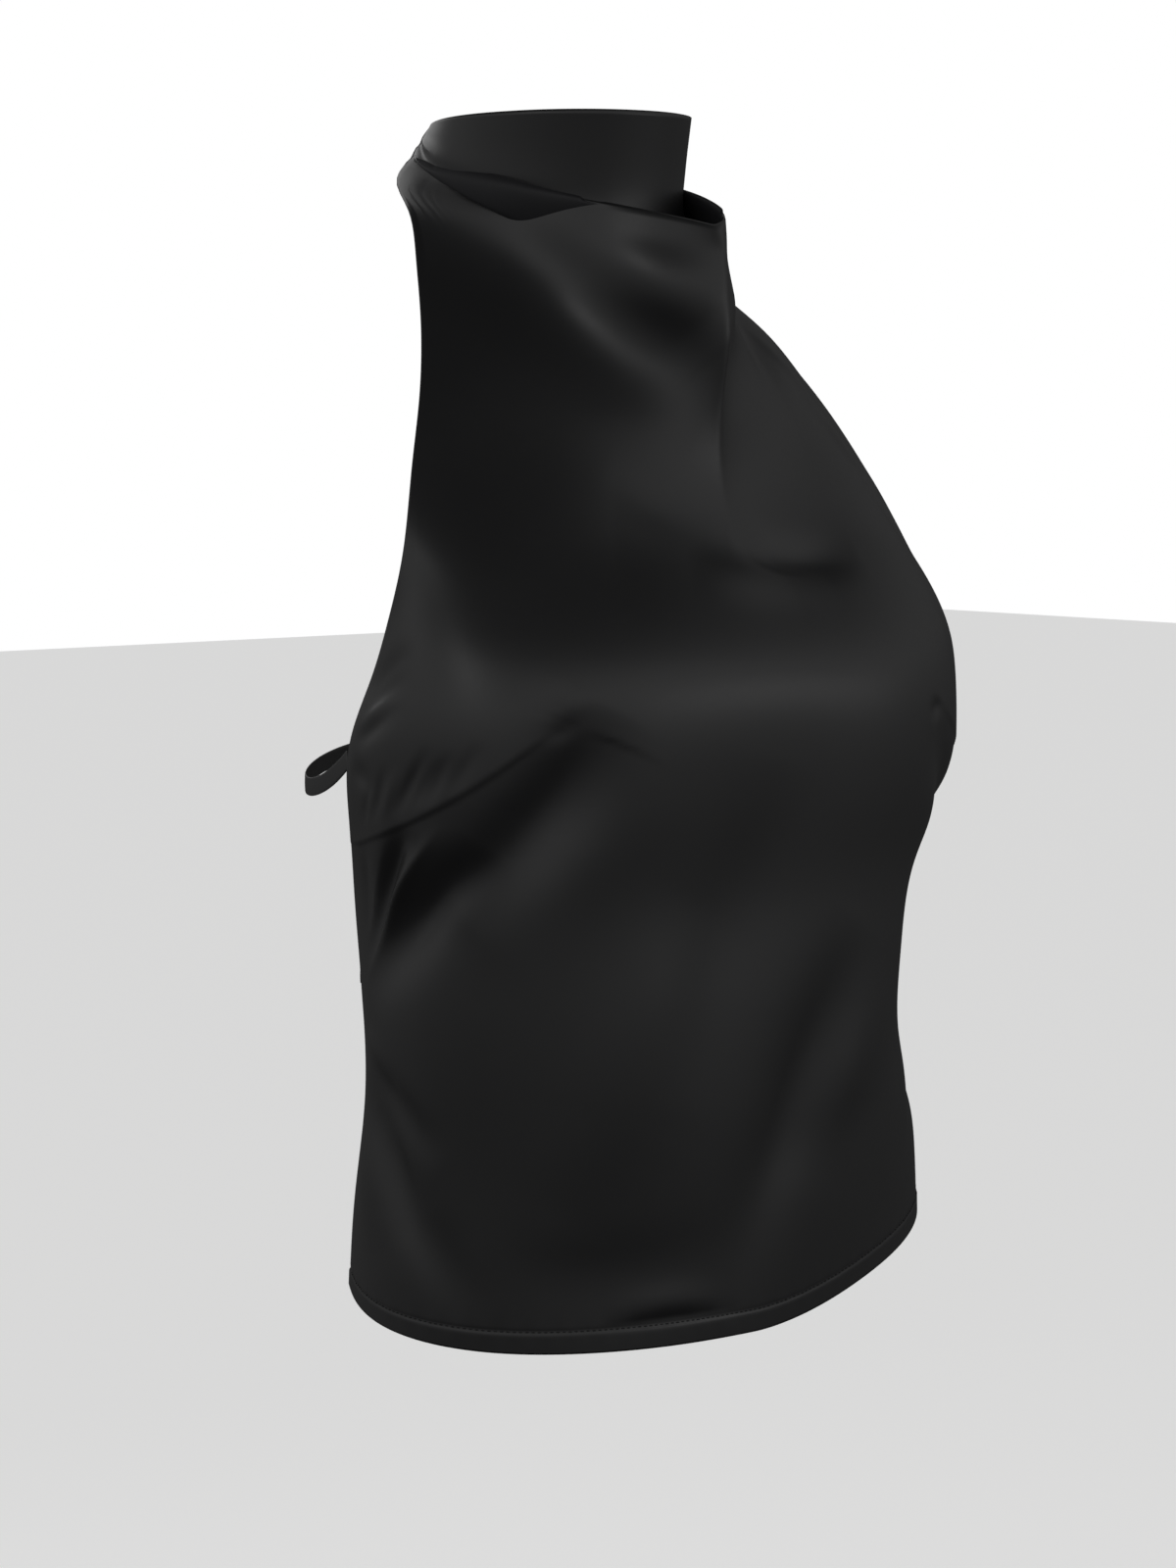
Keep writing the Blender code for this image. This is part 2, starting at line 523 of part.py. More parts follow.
# The end layer leaves the slider's middle bar on the body side, turns round the ring's rear bar and
# comes back outside it, through the slider and on round the back.
slide = SLIDER_FROM_RING
loop_turn = np.radians(np.linspace(125, -90, 11))
end_loop = np.stack([slide + SLIDER_WRAP * np.cos(loop_turn), SLIDER_OUT + SLIDER_WRAP * np.sin(loop_turn)], 1)
end_leg = [(slide - 2.6, -0.2), (slide - 4.5, -HALF_GAP), (slide - 14, -HALF_GAP), (10, -HALF_GAP),
           (4.5, -HALF_GAP), (1.9, -RING_WRAP + 0.15)]
ring_turn = np.radians(np.linspace(-90, -270, 9))
ring_bend = np.stack([RING_WRAP * np.cos(ring_turn), RING_WRAP * np.sin(ring_turn)], 1)
out_leg = [(1.9, RING_WRAP - 0.15), (4.5, HALF_GAP), (10, HALF_GAP), (slide - 20, HALF_GAP)]
knots = np.array(LONG_LAYER)
weave = np.stack([natural_spline(knots[:, k], np.linspace(0, len(knots) - 1, 34)) for k in (0, 1)], 1)
weave[:, 0] += slide
path = np.concatenate([end_loop, end_leg, ring_bend, out_leg, weave])
run = lengths(waist_route)[-1]
rest = np.linspace(weave[-1, 0], run, 22)[1:]
fade = np.clip((run - rest) / 60, 0, 1)
path = np.concatenate([path, np.stack([rest, HALF_GAP * fade], 1)])
middle, across = beside_route(waist_route, path[:, 0], path[:, 1])
near_end = np.clip(1 - (run - path[:, 0]) / STRAP_TURN, 0, 1)[:, None]
near_ring = np.clip(1 - path[:, 0] / STRAP_TURN, 0, 1)[:, None]
across = across * (1 - near_end - near_ring) + left_rise * near_end + rise * near_ring
across /= np.linalg.norm(across, axis=1, keepdims=True)
strap_points, strap_faces = ribbon(middle - across * STRAP_WIDTH / 2, middle + across * STRAP_WIDTH / 2,
                                   STRAP_THICK)
new_object("lower_strap", strap_points, strap_faces, strap_satin, top)

slider_centre, slider_up = beside_route(waist_route, np.array([slide]), np.array([SLIDER_OUT]))
slider_ahead, _ = beside_route(waist_route, np.array([slide + 1]), np.array([SLIDER_OUT]))
slider_past = (slider_ahead - slider_centre)[0]
slider_past /= np.linalg.norm(slider_past)
slider_rise = slider_up[0] / np.linalg.norm(slider_up[0])
slider_aside = np.cross(slider_rise, slider_past)
slider_points, slider_faces = closed_wire(SLIDER_LENGTH, RING_HEIGHT, RING_CORNER, SLIDER_WIRE)
turned = (slider_points[:, :1] * slider_past + slider_points[:, 1:2] * slider_aside
          + slider_points[:, 2:] * slider_rise)
slider = new_object("strap_slider", turned + slider_centre[0], slider_faces, nickel, top, slider_centre[0])
bar_angle = np.arange(8) * math.pi / 4
bar_half = RING_HEIGHT / 2 - SLIDER_WIRE
bar = np.concatenate([
    SLIDER_WIRE * 0.96 * (np.cos(bar_angle)[:, None] * slider_past + np.sin(bar_angle)[:, None] * slider_aside)
    + end * bar_half * slider_rise for end in (-1, 1)]) + slider_centre[0]
bar_faces = [[k, (k + 1) % 8, 8 + (k + 1) % 8, 8 + k] for k in range(8)]
bar_faces += [list(range(7, -1, -1)), list(range(8, 16))]
middle_bar = new_object("slider_middle_bar", bar, bar_faces, nickel, top, slider_centre[0])
middle_bar.hide_render = True
middle_bar.display_type = "WIRE"
join = slider.modifiers.new("middle bar", "BOOLEAN")
join.operation = "UNION"
join.object = middle_bar
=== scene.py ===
# %% [markdown]
# # A mock neck tank top in charcoal satin
# The top is one draped panel of satin, held by a collar round the neck and by two narrow straps across an
# open back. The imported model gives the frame, the metal ring and the slider. This lesson lays the fine
# cloth over it: folds, darts, a stitched hem, bands, straps and covered buttons.
# Every length in the tables is in millimetres, and a mesh gets metres only when it is made.

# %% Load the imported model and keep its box
import math
from collections import namedtuple

import bpy
import numpy as np
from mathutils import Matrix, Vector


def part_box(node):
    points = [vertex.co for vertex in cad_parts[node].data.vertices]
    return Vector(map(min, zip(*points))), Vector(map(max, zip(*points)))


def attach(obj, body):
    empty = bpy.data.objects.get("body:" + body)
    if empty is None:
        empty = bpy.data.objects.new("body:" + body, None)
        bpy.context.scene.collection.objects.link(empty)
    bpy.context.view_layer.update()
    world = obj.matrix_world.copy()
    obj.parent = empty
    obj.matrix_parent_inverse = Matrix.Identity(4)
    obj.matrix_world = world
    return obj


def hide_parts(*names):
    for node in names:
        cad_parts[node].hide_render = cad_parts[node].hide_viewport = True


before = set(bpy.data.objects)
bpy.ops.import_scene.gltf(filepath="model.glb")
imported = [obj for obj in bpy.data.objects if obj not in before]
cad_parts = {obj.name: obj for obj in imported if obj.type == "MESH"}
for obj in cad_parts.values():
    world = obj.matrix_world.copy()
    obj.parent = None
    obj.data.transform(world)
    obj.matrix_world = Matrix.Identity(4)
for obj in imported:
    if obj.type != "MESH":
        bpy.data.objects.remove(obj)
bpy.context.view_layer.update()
MM = 0.001
print("nodes:", sorted(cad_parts))

# %% [markdown]
# ## Camera, floor and light
# The picture is taken from the wearer's front right, 40 degrees round, with a long lens a little above
# the bust. The floor lies far below, because the top is held at the neck, so only a pale ground shows.
# Satin is shaped by what it reflects. The room is brightest a little above eye level and dark low down
# and overhead, so a slope that faces slightly up draws a bright band, and steeper slopes and those that
# face down stay dark. Three soft panels add gleam from the front, the side and behind.

# %% Camera
CAMERA_TURN, CAMERA_DROP = 40.0, 5.587      # degrees round to the wearer's right, degrees looking down
CAMERA_PLACE = (-1.14036, -1.39285, -0.087)
FOCAL_PIXELS, PICTURE_HEIGHT, SENSOR = 4140.0, 1600.0, 36.0

camera = bpy.data.objects.new("camera", bpy.data.cameras.new("camera"))
camera.data.sensor_fit = "VERTICAL"
camera.data.sensor_height = SENSOR
camera.data.lens = FOCAL_PIXELS / PICTURE_HEIGHT * SENSOR
camera.data.clip_end = 50
camera.location = CAMERA_PLACE
camera.rotation_euler = (math.radians(90 - CAMERA_DROP), 0, math.radians(-CAMERA_TURN))
bpy.context.scene.collection.objects.link(camera)
bpy.context.scene.camera = camera
print("lens", round(camera.data.lens, 2), "mm")


# %% Floor, room and soft lights
def linear(code):
    """Linear red, green and blue of an sRGB hex colour: the standard transfer curve, channel by channel."""
    channels = [int(code[i:i + 2], 16) / 255 for i in (1, 3, 5)]
    return [c / 12.92 if c <= 0.04045 else ((c + 0.055) / 1.055) ** 2.4 for c in channels]


def add_node(tree, kind, links=(), **settings):
    """Add one shader node, set its properties and input values by name, and link (output, input) pairs."""
    node = tree.nodes.new(kind)
    for key, value in settings.items():
        if hasattr(node, key):
            setattr(node, key, value)
        else:
            node.inputs[key.replace("_", " ")].default_value = value
    for output, name in links:
        tree.links.new(output, node.inputs[name])
    return node


def soft_light(name, place, aim, size, power):
    """Square soft light at a place, turned to face its aim."""
    lamp = bpy.data.objects.new(name, bpy.data.lights.new(name, "AREA"))
    lamp.data.shape, lamp.data.size, lamp.data.size_y = "RECTANGLE", *size
    lamp.data.energy = power
    lamp.location = place
    forward = np.array(aim, float) - np.array(place, float)
    flat = math.hypot(forward[0], forward[1])
    lamp.rotation_euler = (math.atan2(flat, -forward[2]), 0, math.atan2(-forward[0], forward[1]))
    bpy.context.scene.collection.objects.link(lamp)
    return lamp


bpy.context.scene.view_settings.view_transform = "Standard"
room = bpy.data.worlds.new("room")
room.use_nodes = True
bpy.context.scene.world = room
tree = room.node_tree
tree.nodes.clear()
# how bright the room is by height of the direction, from straight down (0) to straight up (1): dark low
# down, brightest at 15 to 25 degrees up, and dark overhead
ROOM_LEVELS = ((0.0, 0.03), (0.22, 0.08), (0.33, 0.28), (0.45, 0.42), (0.55, 0.60), (0.64, 0.88),
               (0.72, 0.84), (0.80, 0.46), (0.87, 0.14), (1.0, 0.09))
AWAY = (0.70, 0.71, 0.0)   # the far side of the room, which only glancing cloth mirrors
AWAY_FROM = -0.2           # the room dims from this cosine to AWAY up to 1
ROOM_BACK = 0.06           # how bright it is there, as a share of the near side
heading = add_node(tree, "ShaderNodeTexCoord")
split = add_node(tree, "ShaderNodeSeparateXYZ", [(heading.outputs["Generated"], "Vector")])
height = add_node(tree, "ShaderNodeMapRange", [(split.outputs["Z"], "Value")])
height.inputs["From Min"].default_value = -1.0
levels = add_node(tree, "ShaderNodeValToRGB", [(height.outputs["Result"], "Fac")])
ramp = levels.color_ramp
while len(ramp.elements) < len(ROOM_LEVELS):
    ramp.elements.new(0.5)
for stop, (place, level) in zip(ramp.elements, ROOM_LEVELS):
    stop.position, stop.color = place, (level, level, level, 1)
seen = add_node(tree, "ShaderNodeLightPath")
away = add_node(tree, "ShaderNodeVectorMath", [(heading.outputs["Generated"], 0)], operation="DOT_PRODUCT")
away.inputs[1].default_value = AWAY
frontness = add_node(tree, "ShaderNodeMapRange", [(away.outputs["Value"], "Value")])
frontness.inputs["From Min"].default_value, frontness.inputs["From Max"].default_value = AWAY_FROM, 1.0
frontness.inputs["To Min"].default_value, frontness.inputs["To Max"].default_value = 1.0, ROOM_BACK
lit = add_node(tree, "ShaderNodeBackground", [(levels.outputs["Color"], "Color"),
                                              (frontness.outputs["Result"], "Strength")])
shown = add_node(tree, "ShaderNodeBackground", Color=(*linear("#ffffff"), 1), Strength=1.0)
mixed = add_node(tree, "ShaderNodeMixShader", [(seen.outputs["Is Camera Ray"], 0)])
tree.links.new(lit.outputs[0], mixed.inputs[1])
tree.links.new(shown.outputs[0], mixed.inputs[2])
add_node(tree, "ShaderNodeOutputWorld", [(mixed.outputs[0], "Surface")])

paper = bpy.data.materials.new("white seamless paper")
paper.use_nodes = True
shader = paper.node_tree.nodes["Principled BSDF"]
shader.inputs["Base Color"].default_value = (*linear("#f6f6f5"), 1)
shader.inputs["Roughness"].default_value = 0.9
shader.inputs["Emission Color"].default_value = (1, 1, 1, 1)
shader.inputs["Emission Strength"].default_value = 0.45

FLOOR_Z, FLOOR_HALF = -1.25, 14.0
mesh = bpy.data.meshes.new("floor")
corners = [(x * FLOOR_HALF, y * FLOOR_HALF, FLOOR_Z) for x, y in ((-1, -1), (1, -1), (1, 1), (-1, 1))]
mesh.from_pydata(corners, [], [(0, 1, 2, 3)])
mesh.materials.append(paper)
floor = bpy.data.objects.new("floor", mesh)
bpy.context.scene.collection.objects.link(floor)
floor.visible_glossy = floor.visible_diffuse = False      # black cloth would mirror it

soft_light("key panel", (1.0, -1.4, -0.02), (0, -0.1, -0.2), (1.0, 0.4), 1.0)
soft_light("side panel", (-1.9, -1.0, 1.0), (0, -0.1, -0.15), (0.9, 0.7), 2.2)
soft_light("back panel", (0.3, 1.9, 0.6), (0, 0, -0.15), (1.6, 0.8), 4)

# %% [markdown]
# ## The panel as a family of level sections
# A pattern cutter checks a top by its level sections, from hem to collar. Each row below is one: its
# heights at centre front and at the side edge, the edge's place, and how far the curve runs on before it
# bends. A smooth curve through the rows gives every section in between. Past the lip the rows go down
# into the cowl's pocket and up again as the mock collar, because the cloth is one piece. All rows meet
# within 25 mm at the neck seams, where the real cloth is gathered. The rows from hem to lip were fitted to
# the photograph by a separate search program, and only the hem's was changed by hand after that.

# %% Section table
Section = namedtuple("Section", (
    "name z_centre z_edge rise x_edge y_edge y_centre "
    "right_reach right_dip left_reach left_dip edge_reach right_turn left_turn shift"))
SECTIONS = [Section(*row) for row in (
    ("hem",         -483, -468, 3.0, 129, -22, -151, 130, -7.6, 108,  6.3, 86, 122, 117,  6),
    ("hip",         -430, -426, 3.0, 123, -24, -155, 124, -5.6, 108,  4.9, 91, 128, 113,  2),
    ("low waist",   -385, -382, 3.0, 118, -27, -158, 123, -4.5,  98,  3.6, 97, 133,  96,  1),
    ("waist",       -342, -342, 2.6, 120, -31, -159, 117, -1.3,  97,  1.1,100, 128,  93, -2),
    ("midriff",     -300, -302, 2.4, 129, -38, -158, 117, -0.1, 101,  0.1, 96, 117,  94, -2),
    ("dart",        -262, -270, 2.4, 140, -47, -161, 126, -0.7, 112,  0.6, 87, 110, 104,  0),
    ("bust",        -222, -237, 2.4, 143, -50, -162, 129, -1.2, 122,  1.1, 81, 111, 107,  0),
    ("upper bust",  -196, -207, 2.4, 142, -64, -156,  99, -2.1, 107,  2.3, 72, 112, 113,  0),
    ("chest",       -174, -180, 2.4, 142, -77, -142,  86, -2.4, 105,  2.9, 47, 101, 106,  0),
    ("pit",         -153, -152, 2.2, 139, -83, -128,  58,  0.1,  64,  4.8, 44,  61,  64,  0),
    ("drape 1",     -128, -120, 2.0, 127, -73, -121,  44,  0.9,  23,  9.8, 51,  42,  50,  0),
    ("drape 2",     -102,  -90, 1.8, 112, -59, -120,  36,  4.5,  16, 17.9, 45,  43,  52,  0),
    ("drape 3",      -76,  -60, 1.6,  95, -38, -123,  33, 16.1,  17, 38.6, 39,  58,  75,  0),
    ("drape 4",      -52,  -34, 1.4,  78, -13, -124,  47,   11,  31,   29, 34,  65,  59,  0),
    ("drape 5",      -35,  -12, 1.2,  61,  14, -123,  46,   13,  25,   21, 44,  97, 105,  0),
    ("gather",       -27,    3, 1.1,  48,  40, -121,  49,   12,  31,   20, 52, 115, 126,  0),
    ("lip",          -20,   12, 1.0,  47,  32, -117,  47,    2,  29,    8, 47, 108, 118,  0),
    ("inner lip",    -25,   14, 1.0,  46,  30, -109,  46,    4,  36,    8, 48, 129, 129,  0),
    ("pocket",       -44,   17, 1.0,  46,  28,  -80,  46,    0,  46,    0, 48, 129, 129,  0),
    ("base",         -26,   19, 1.1,  45,  26,  -67,  48,    0,  48,    0, 48, 129, 129,  0),
    ("neck 1",        -8,   21, 1.4,  45,  25,  -65,  49,    0,  49,    0, 49, 129, 129,  0),
    ("neck 2",        11,   23, 1.8,  45,  23,  -68,  48,    0,  48,    0, 48, 129, 129,  0),
    ("top",           30,   26, 2.4,  44,  21,  -72,  48,    0,  48,    0, 48, 129, 129,  0),
)]
HEM_LIFT = 28.5            # how much higher the hem hangs over the wearer's left front
HEM_LIFT_FROM = -0.05      # share across where it starts to rise
HEM_LIFT_AT = 0.83         # share across of its highest place
HEM_LIFT_FALL = 0.20       # part of the lift that it loses again at the left edge
HEM_LIFT_BELOW = -222.0    # the lift starts here and is full at the hem, 256 mm lower
HEM_LIFT_OVER = 256.0
RIDGE_ROUNDING = 0.012     # share of the half width over which the cowl's front ridge is rounded
print(len(SECTIONS), "sections from", SECTIONS[0].name, "to", SECTIONS[-1].name)


# %% Curves and the smooth panel
def natural_spline(values, at):
    """Natural cubic spline through values at 0, 1, 2...: second slopes from the usual (1, 4, 1) system."""
    values = np.asarray(values, float)
    count = len(values)
    system, right = np.eye(count), np.zeros(count)
    for i in range(1, count - 1):
        system[i, i - 1:i + 2] = 1, 4, 1
        right[i] = 6 * (values[i + 1] - 2 * values[i] + values[i - 1])
    bend = np.linalg.solve(system, right)
    i = np.clip(np.floor(at).astype(int), 0, count - 2)
    s = at - i
    return ((bend[i] * (1 - s) ** 3 + bend[i + 1] * s ** 3) / 6
            + (values[i] - bend[i] / 6) * (1 - s) + (values[i + 1] - bend[i + 1] / 6) * s)


def bezier(p0, p1, p2, p3, samples=160):
    """Cubic curve from p0 to p3 that leaves towards p1 and arrives from p2."""
    s = np.linspace(0, 1, samples)[:, None]
    return (1 - s) ** 3 * p0 + 3 * (1 - s) ** 2 * s * p1 + 3 * (1 - s) * s * s * p2 + s ** 3 * p3


def lengths(line):
    """Length along a line of points, from its start to each point."""
    return np.concatenate([[0.0], np.cumsum(np.linalg.norm(np.diff(line, axis=0), axis=1))])


def along_line(line, distance):
    """Points at the given distances along a line of points."""
    run = lengths(line)
    return np.stack([np.interp(distance, run, line[:, k]) for k in range(line.shape[1])], 1)


def section_number(name):
    return [section.name for section in SECTIONS].index(name)


def sharp_surface(numbers, across):
    """Rows of the panel: one for each section number, with one column for each share across.

    Each row is a plan curve from centre front to both edges, spaced by its length, whose height goes
    from z_centre to z_edge as |share| ** rise. The hem lifts smoothly over the wearer's left front.
    Returns the points, and the distance of each from centre front.
    """
    columns = np.array([section[1:] for section in SECTIONS], float)
    numbers = np.asarray(numbers, float)
    blended = np.stack([natural_spline(columns[:, k], numbers) for k in range(columns.shape[1])], 1)
    points = np.zeros((len(numbers), len(across), 3))
    wide = np.zeros((len(numbers), len(across)))
    for j, values in enumerate(blended):
        row = Section("", *values)
        edge = np.array([row.x_edge, row.y_edge])
        start = np.array([0.0, row.y_centre])
        for side, reach, dip, turn in ((-1, row.right_reach, row.right_dip, math.radians(row.right_turn)),
                                       (1, row.left_reach, row.left_dip, math.radians(row.left_turn))):
            before_edge = edge - row.edge_reach * np.array([math.cos(turn), math.sin(turn)])
            mine = across * side >= 0 if side > 0 else across < 0
            curve = bezier(start, start + (reach, dip), before_edge, edge)
            total = lengths(curve)[-1]
            plan = along_line(curve, np.abs(across[mine]) * total)
            points[j, mine, 0] = side * plan[:, 0] + row.shift
            points[j, mine, 1] = plan[:, 1]
            wide[j, mine] = across[mine] * total
        lift = HEM_LIFT * np.clip((HEM_LIFT_BELOW - row.z_centre) / HEM_LIFT_OVER, 0, 1)
        lifted = np.clip((across - HEM_LIFT_FROM) / (HEM_LIFT_AT - HEM_LIFT_FROM), 0, 1)
        rising = np.sin(math.pi / 2 * lifted) ** 1.5
        falling = np.sin(math.pi / 2 * np.clip((across - HEM_LIFT_AT) / (1 - HEM_LIFT_AT), 0, 1)) ** 2
        points[j, :, 2] = (row.z_centre + (row.z_edge - row.z_centre) * np.abs(across) ** row.rise
                           + lift * (rising - HEM_LIFT_FALL * falling))
    return points, wide


def panel_surface(numbers, across):
    """The rows with the cowl's front ridge rounded: each point averaged with its left and right."""
    reach = RIDGE_ROUNDING * np.clip((1 - np.abs(across)) / 0.1, 0, 1)
    points, wide = sharp_surface(numbers, across)
    before, _ = sharp_surface(numbers, across - reach)
    after, _ = sharp_surface(numbers, across + reach)
    return (before + 2 * points + after) / 4, wide


FINE_NUMBERS = np.linspace(0, len(SECTIONS) - 1, 441)
FINE_UP = lengths(panel_surface(FINE_NUMBERS, np.array([0.0]))[0][:, 0])


def up_the_front(numbers):
    """Length along the centre front, in mm, from the hem to each section number."""
    return np.interp(numbers, FINE_NUMBERS, FINE_UP)


def number_at(up):
    """Section number at a length up the centre front."""
    return np.interp(up, FINE_UP, FINE_NUMBERS)


print("centre front is", round(FINE_UP[-1]), "mm from hem to collar top")

# %% [markdown]
# ## Folds placed one by one
# Satin shows every fold as a pair of tones, so each one is placed where the photograph has it. A fold
# follows a curve through three points of the flat panel. It swells and dies along its length, and its two
# flanks have their own widths, because a pulled fold is steep on one side. The real cloth is pushed up by
# tension between the strap, the ring, the dart and the gathers, and one could simulate that, but a
# simulation would put its folds elsewhere.

# %% Fold table
# across is the share of the way to the side edge (wearer's left is +), up is mm up the centre front from
# the hem. height is + for a ridge. left and right are the widths of the flanks seen from outside.
Fold = namedtuple("Fold", "name across_1 up_1 across_2 up_2 across_3 up_3 height left right crisp")
FOLDS = [Fold(*row) for row in (
    ("cowl roll, right",        -0.56, 474, -0.22, 452,  0.12, 414,   3.0, 17, 15, 0.0),
    ("cowl hollow, right",      -0.97, 480, -0.52, 442, -0.06, 386,  -5.2, 20, 20, 0.0),
    ("cowl foot",               -0.40, 350, -0.12, 340,  0.16, 338,   3.0, 28, 30, 0.0),
    ("cowl band, left",          0.93, 475,  0.62, 445,  0.30, 409,   3.4, 12, 20, 0.0),
    ("cowl trough, left",        0.93, 461,  0.68, 431,  0.46, 392,  -3.0, 14,  9, 0.0),
    ("gather 1, right",         -0.99, 499, -0.90, 493, -0.72, 487,   2.2, 10, 10, 0.0),
    ("gather 2, right",         -0.99, 544, -0.90, 537, -0.74, 532,  -2.4, 10, 12, 0.0),
    ("gather 3, right",         -0.99, 571, -0.92, 565, -0.80, 561,   1.6,  9,  9, 0.0),
    ("gather 4, right",         -0.99, 587, -0.90, 579, -0.70, 574,  -1.8, 10, 12, 0.0),
    ("gather 1, left",           0.99, 503,  0.90, 495,  0.76, 489,   2.2, 10, 10, 0.0),
    ("gather 2, left",           0.99, 539,  0.89, 535,  0.72, 532,  -2.2, 10, 12, 0.0),
    ("gather 3, left",           0.99, 573,  0.91, 568,  0.78, 565,   1.5,  9,  9, 0.0),
    ("lower drape, right",      -0.42, 372, -0.26, 355, -0.06, 341,  -0.6, 12,  9, 0.0),
    ("lower drape, left",       -0.02, 341,  0.20, 331,  0.48, 332,  -3.4, 10,  8, 0.0),
    ("below drape",             -0.18, 329,  0.02, 323,  0.30, 322,   2.0,  9, 12, 0.0),
    ("far chest overhang",       0.06, 452,  0.26, 430,  0.62, 416,   5.0, 12, 34, 0.0),
    ("armhole roll, left",       0.70, 429,  0.82, 380,  0.88, 332,   1.4,  5,  4, 0.0),
    ("armhole tuck, left",       0.80, 355,  0.83, 341,  0.84, 327,  -0.8,  3,  4, 0.0),
    ("strap pucker 1, right",   -0.99, 264, -0.92, 269, -0.82, 278,  -1.5,  4,  5, 0.2),
    ("strap pucker 2, right",   -0.99, 267, -0.93, 276, -0.86, 283,   0.9,  4,  4, 0.2),
    ("strap pucker 3, right",   -0.99, 272, -0.91, 281, -0.82, 289,  -1.3,  4,  5, 0.2),
    ("strap pucker 4, right",   -0.98, 280, -0.92, 290, -0.84, 302,  -1.3,  5,  6, 0.2),
    ("under strap, right",      -1.00, 254, -0.95, 248, -0.90, 238,  -1.6,  6,  5, 0.0),
    ("dart pleat 1, right",     -0.95, 222, -0.94, 234, -0.92, 246,  -0.9,  3,  3, 0.2),
    ("dart pleat 2, right",     -0.91, 224, -0.89, 238, -0.85, 254,  -1.2,  3,  4, 0.2),
    ("dart pleat 3, right",     -0.87, 226, -0.85, 239, -0.82, 252,   0.8,  3,  3, 0.2),
    ("dart pleat 4, right",     -0.84, 227, -0.79, 244, -0.74, 260,  -1.5,  3,  4, 0.2),
    ("dart pleat 5, right",     -0.79, 230, -0.76, 242, -0.72, 255,  -1.0,  3,  3, 0.2),
    ("dart pleat 6, right",     -0.76, 232, -0.73, 244, -0.70, 258,  -1.2,  3,  3, 0.2),
    ("dart pleat 7, right",     -0.71, 237, -0.68, 248, -0.64, 261,  -0.7,  3,  4, 0.2),
    ("dart valley, right",      -0.42, 272, -0.52, 226, -0.70, 184, -10.0, 19, 17, 0.0),
    ("dart valley low, right",  -0.64, 214, -0.79, 180, -0.98, 145,  -7.6, 14, 14, 0.0),
    ("valley tongue, right",    -0.58, 206, -0.70, 184, -0.86, 154,   0.8,  8,  8, 0.0),
    ("ring wedge, right",       -0.79, 224, -0.88, 199, -0.99, 157,  -5.4,  6,  8, 0.0),
    ("ring ridge 1, right",     -0.72, 226, -0.85, 191, -1.00, 147,   3.6,  5,  4, 0.8),
    ("ring ridge 2, right",     -0.88, 216, -0.94, 189, -0.99, 165,   2.0,  4,  4, 0.8),
    ("edge hollow, right",      -0.97, 216, -0.98, 193, -1.00, 167,  -1.4,  5,  5, 0.0),
    ("dart tip dimple, right",  -0.53, 257, -0.49, 262, -0.46, 265,  -0.8,  5,  4, 0.0),
    ("above tip, right",        -0.52, 265, -0.48, 270, -0.45, 276,   0.4,  5,  5, 0.0),
    ("dart valley, left",        0.47, 260,  0.56, 222,  0.74, 183,  -4.6, 14, 13, 0.0),
    ("dart valley low, left",    0.70, 207,  0.84, 177,  0.98, 149,  -3.6, 10, 11, 0.0),
    ("ring ridge, left",         0.78, 220,  0.88, 189,  0.99, 149,   2.2,  5,  5, 0.6),
    ("dart pleat 1, left",       0.92, 224,  0.90, 236,  0.87, 252,  -1.1,  4,  3, 0.2),
    ("dart pleat 2, left",       0.84, 227,  0.80, 242,  0.77, 257,  -1.3,  4,  3, 0.2),
    ("dart pleat 3, left",       0.77, 231,  0.73, 244,  0.71, 255,  -0.9,  3,  3, 0.2),
    ("strap pucker 1, left",     0.99, 263,  0.91, 270,  0.83, 280,  -1.4,  5,  4, 0.2),
    ("strap pucker 2, left",     0.99, 270,  0.92, 281,  0.84, 290,  -1.2,  5,  4, 0.2),
    ("dart tip dimple, left",    0.43, 254,  0.46, 260,  0.48, 265,  -1.6,  4,  5, 0.0),
    ("below ring 1, right",     -0.99, 131, -0.94, 120, -0.87, 109,   1.4,  6,  5, 0.2),
    ("below ring 2, right",     -0.99, 124, -0.88, 104, -0.72,  80,  -3.4,  8,  8, 0.0),
    ("below ring 3, right",     -1.00, 111, -0.84,  74, -0.62,  12,  -5.6, 12, 11, 0.0),
    ("below ring 4, right",     -0.99,  95, -0.94,  65, -0.88,  31,   1.8, 14, 12, 0.0),
    ("front swell",             -0.20, 187, -0.34, 127, -0.46,  57,   3.0, 26, 26, 0.0),
    ("front hollow",            -0.02, 243, -0.12, 172, -0.24,  97,  -3.0, 24, 24, 0.0),
    ("left trough",              0.26, 165,  0.08, 105, -0.14,   6,  -6.4, 17, 17, 0.0),
    ("left trough branch",       0.38,  84,  0.16,  76, -0.10,  68,  -1.4, 18, 18, 0.0),
    ("left ridge",               0.38, 140,  0.24,  99,  0.14,  55,   2.0, 18, 16, 0.0),
    ("hem hollow",              -0.62,  40, -0.36,  32, -0.06,  44,  -1.5, 16, 18, 0.0),
    ("hem bump",                -0.40,  16, -0.26,  19, -0.12,  17,   1.2,  7,  6, 0.0),
    ("hem crease",              -0.42,  10, -0.25,  12, -0.06,  11,  -0.8,  3,  3, 0.2),
    ("left hip folds 1",         0.92, 150,  0.66,  99,  0.44,  30,  -4.0, 11, 11, 0.0),
    ("left hip folds 2",         0.98, 115,  0.84,  79,  0.72,  37,  -2.4, 10, 10, 0.0),
)]
FOLD_SAMPLES = 48
CRISP_WIDTH = 0.45      # a crisp fold's tip is this share of its width
print(len(FOLDS), "folds")


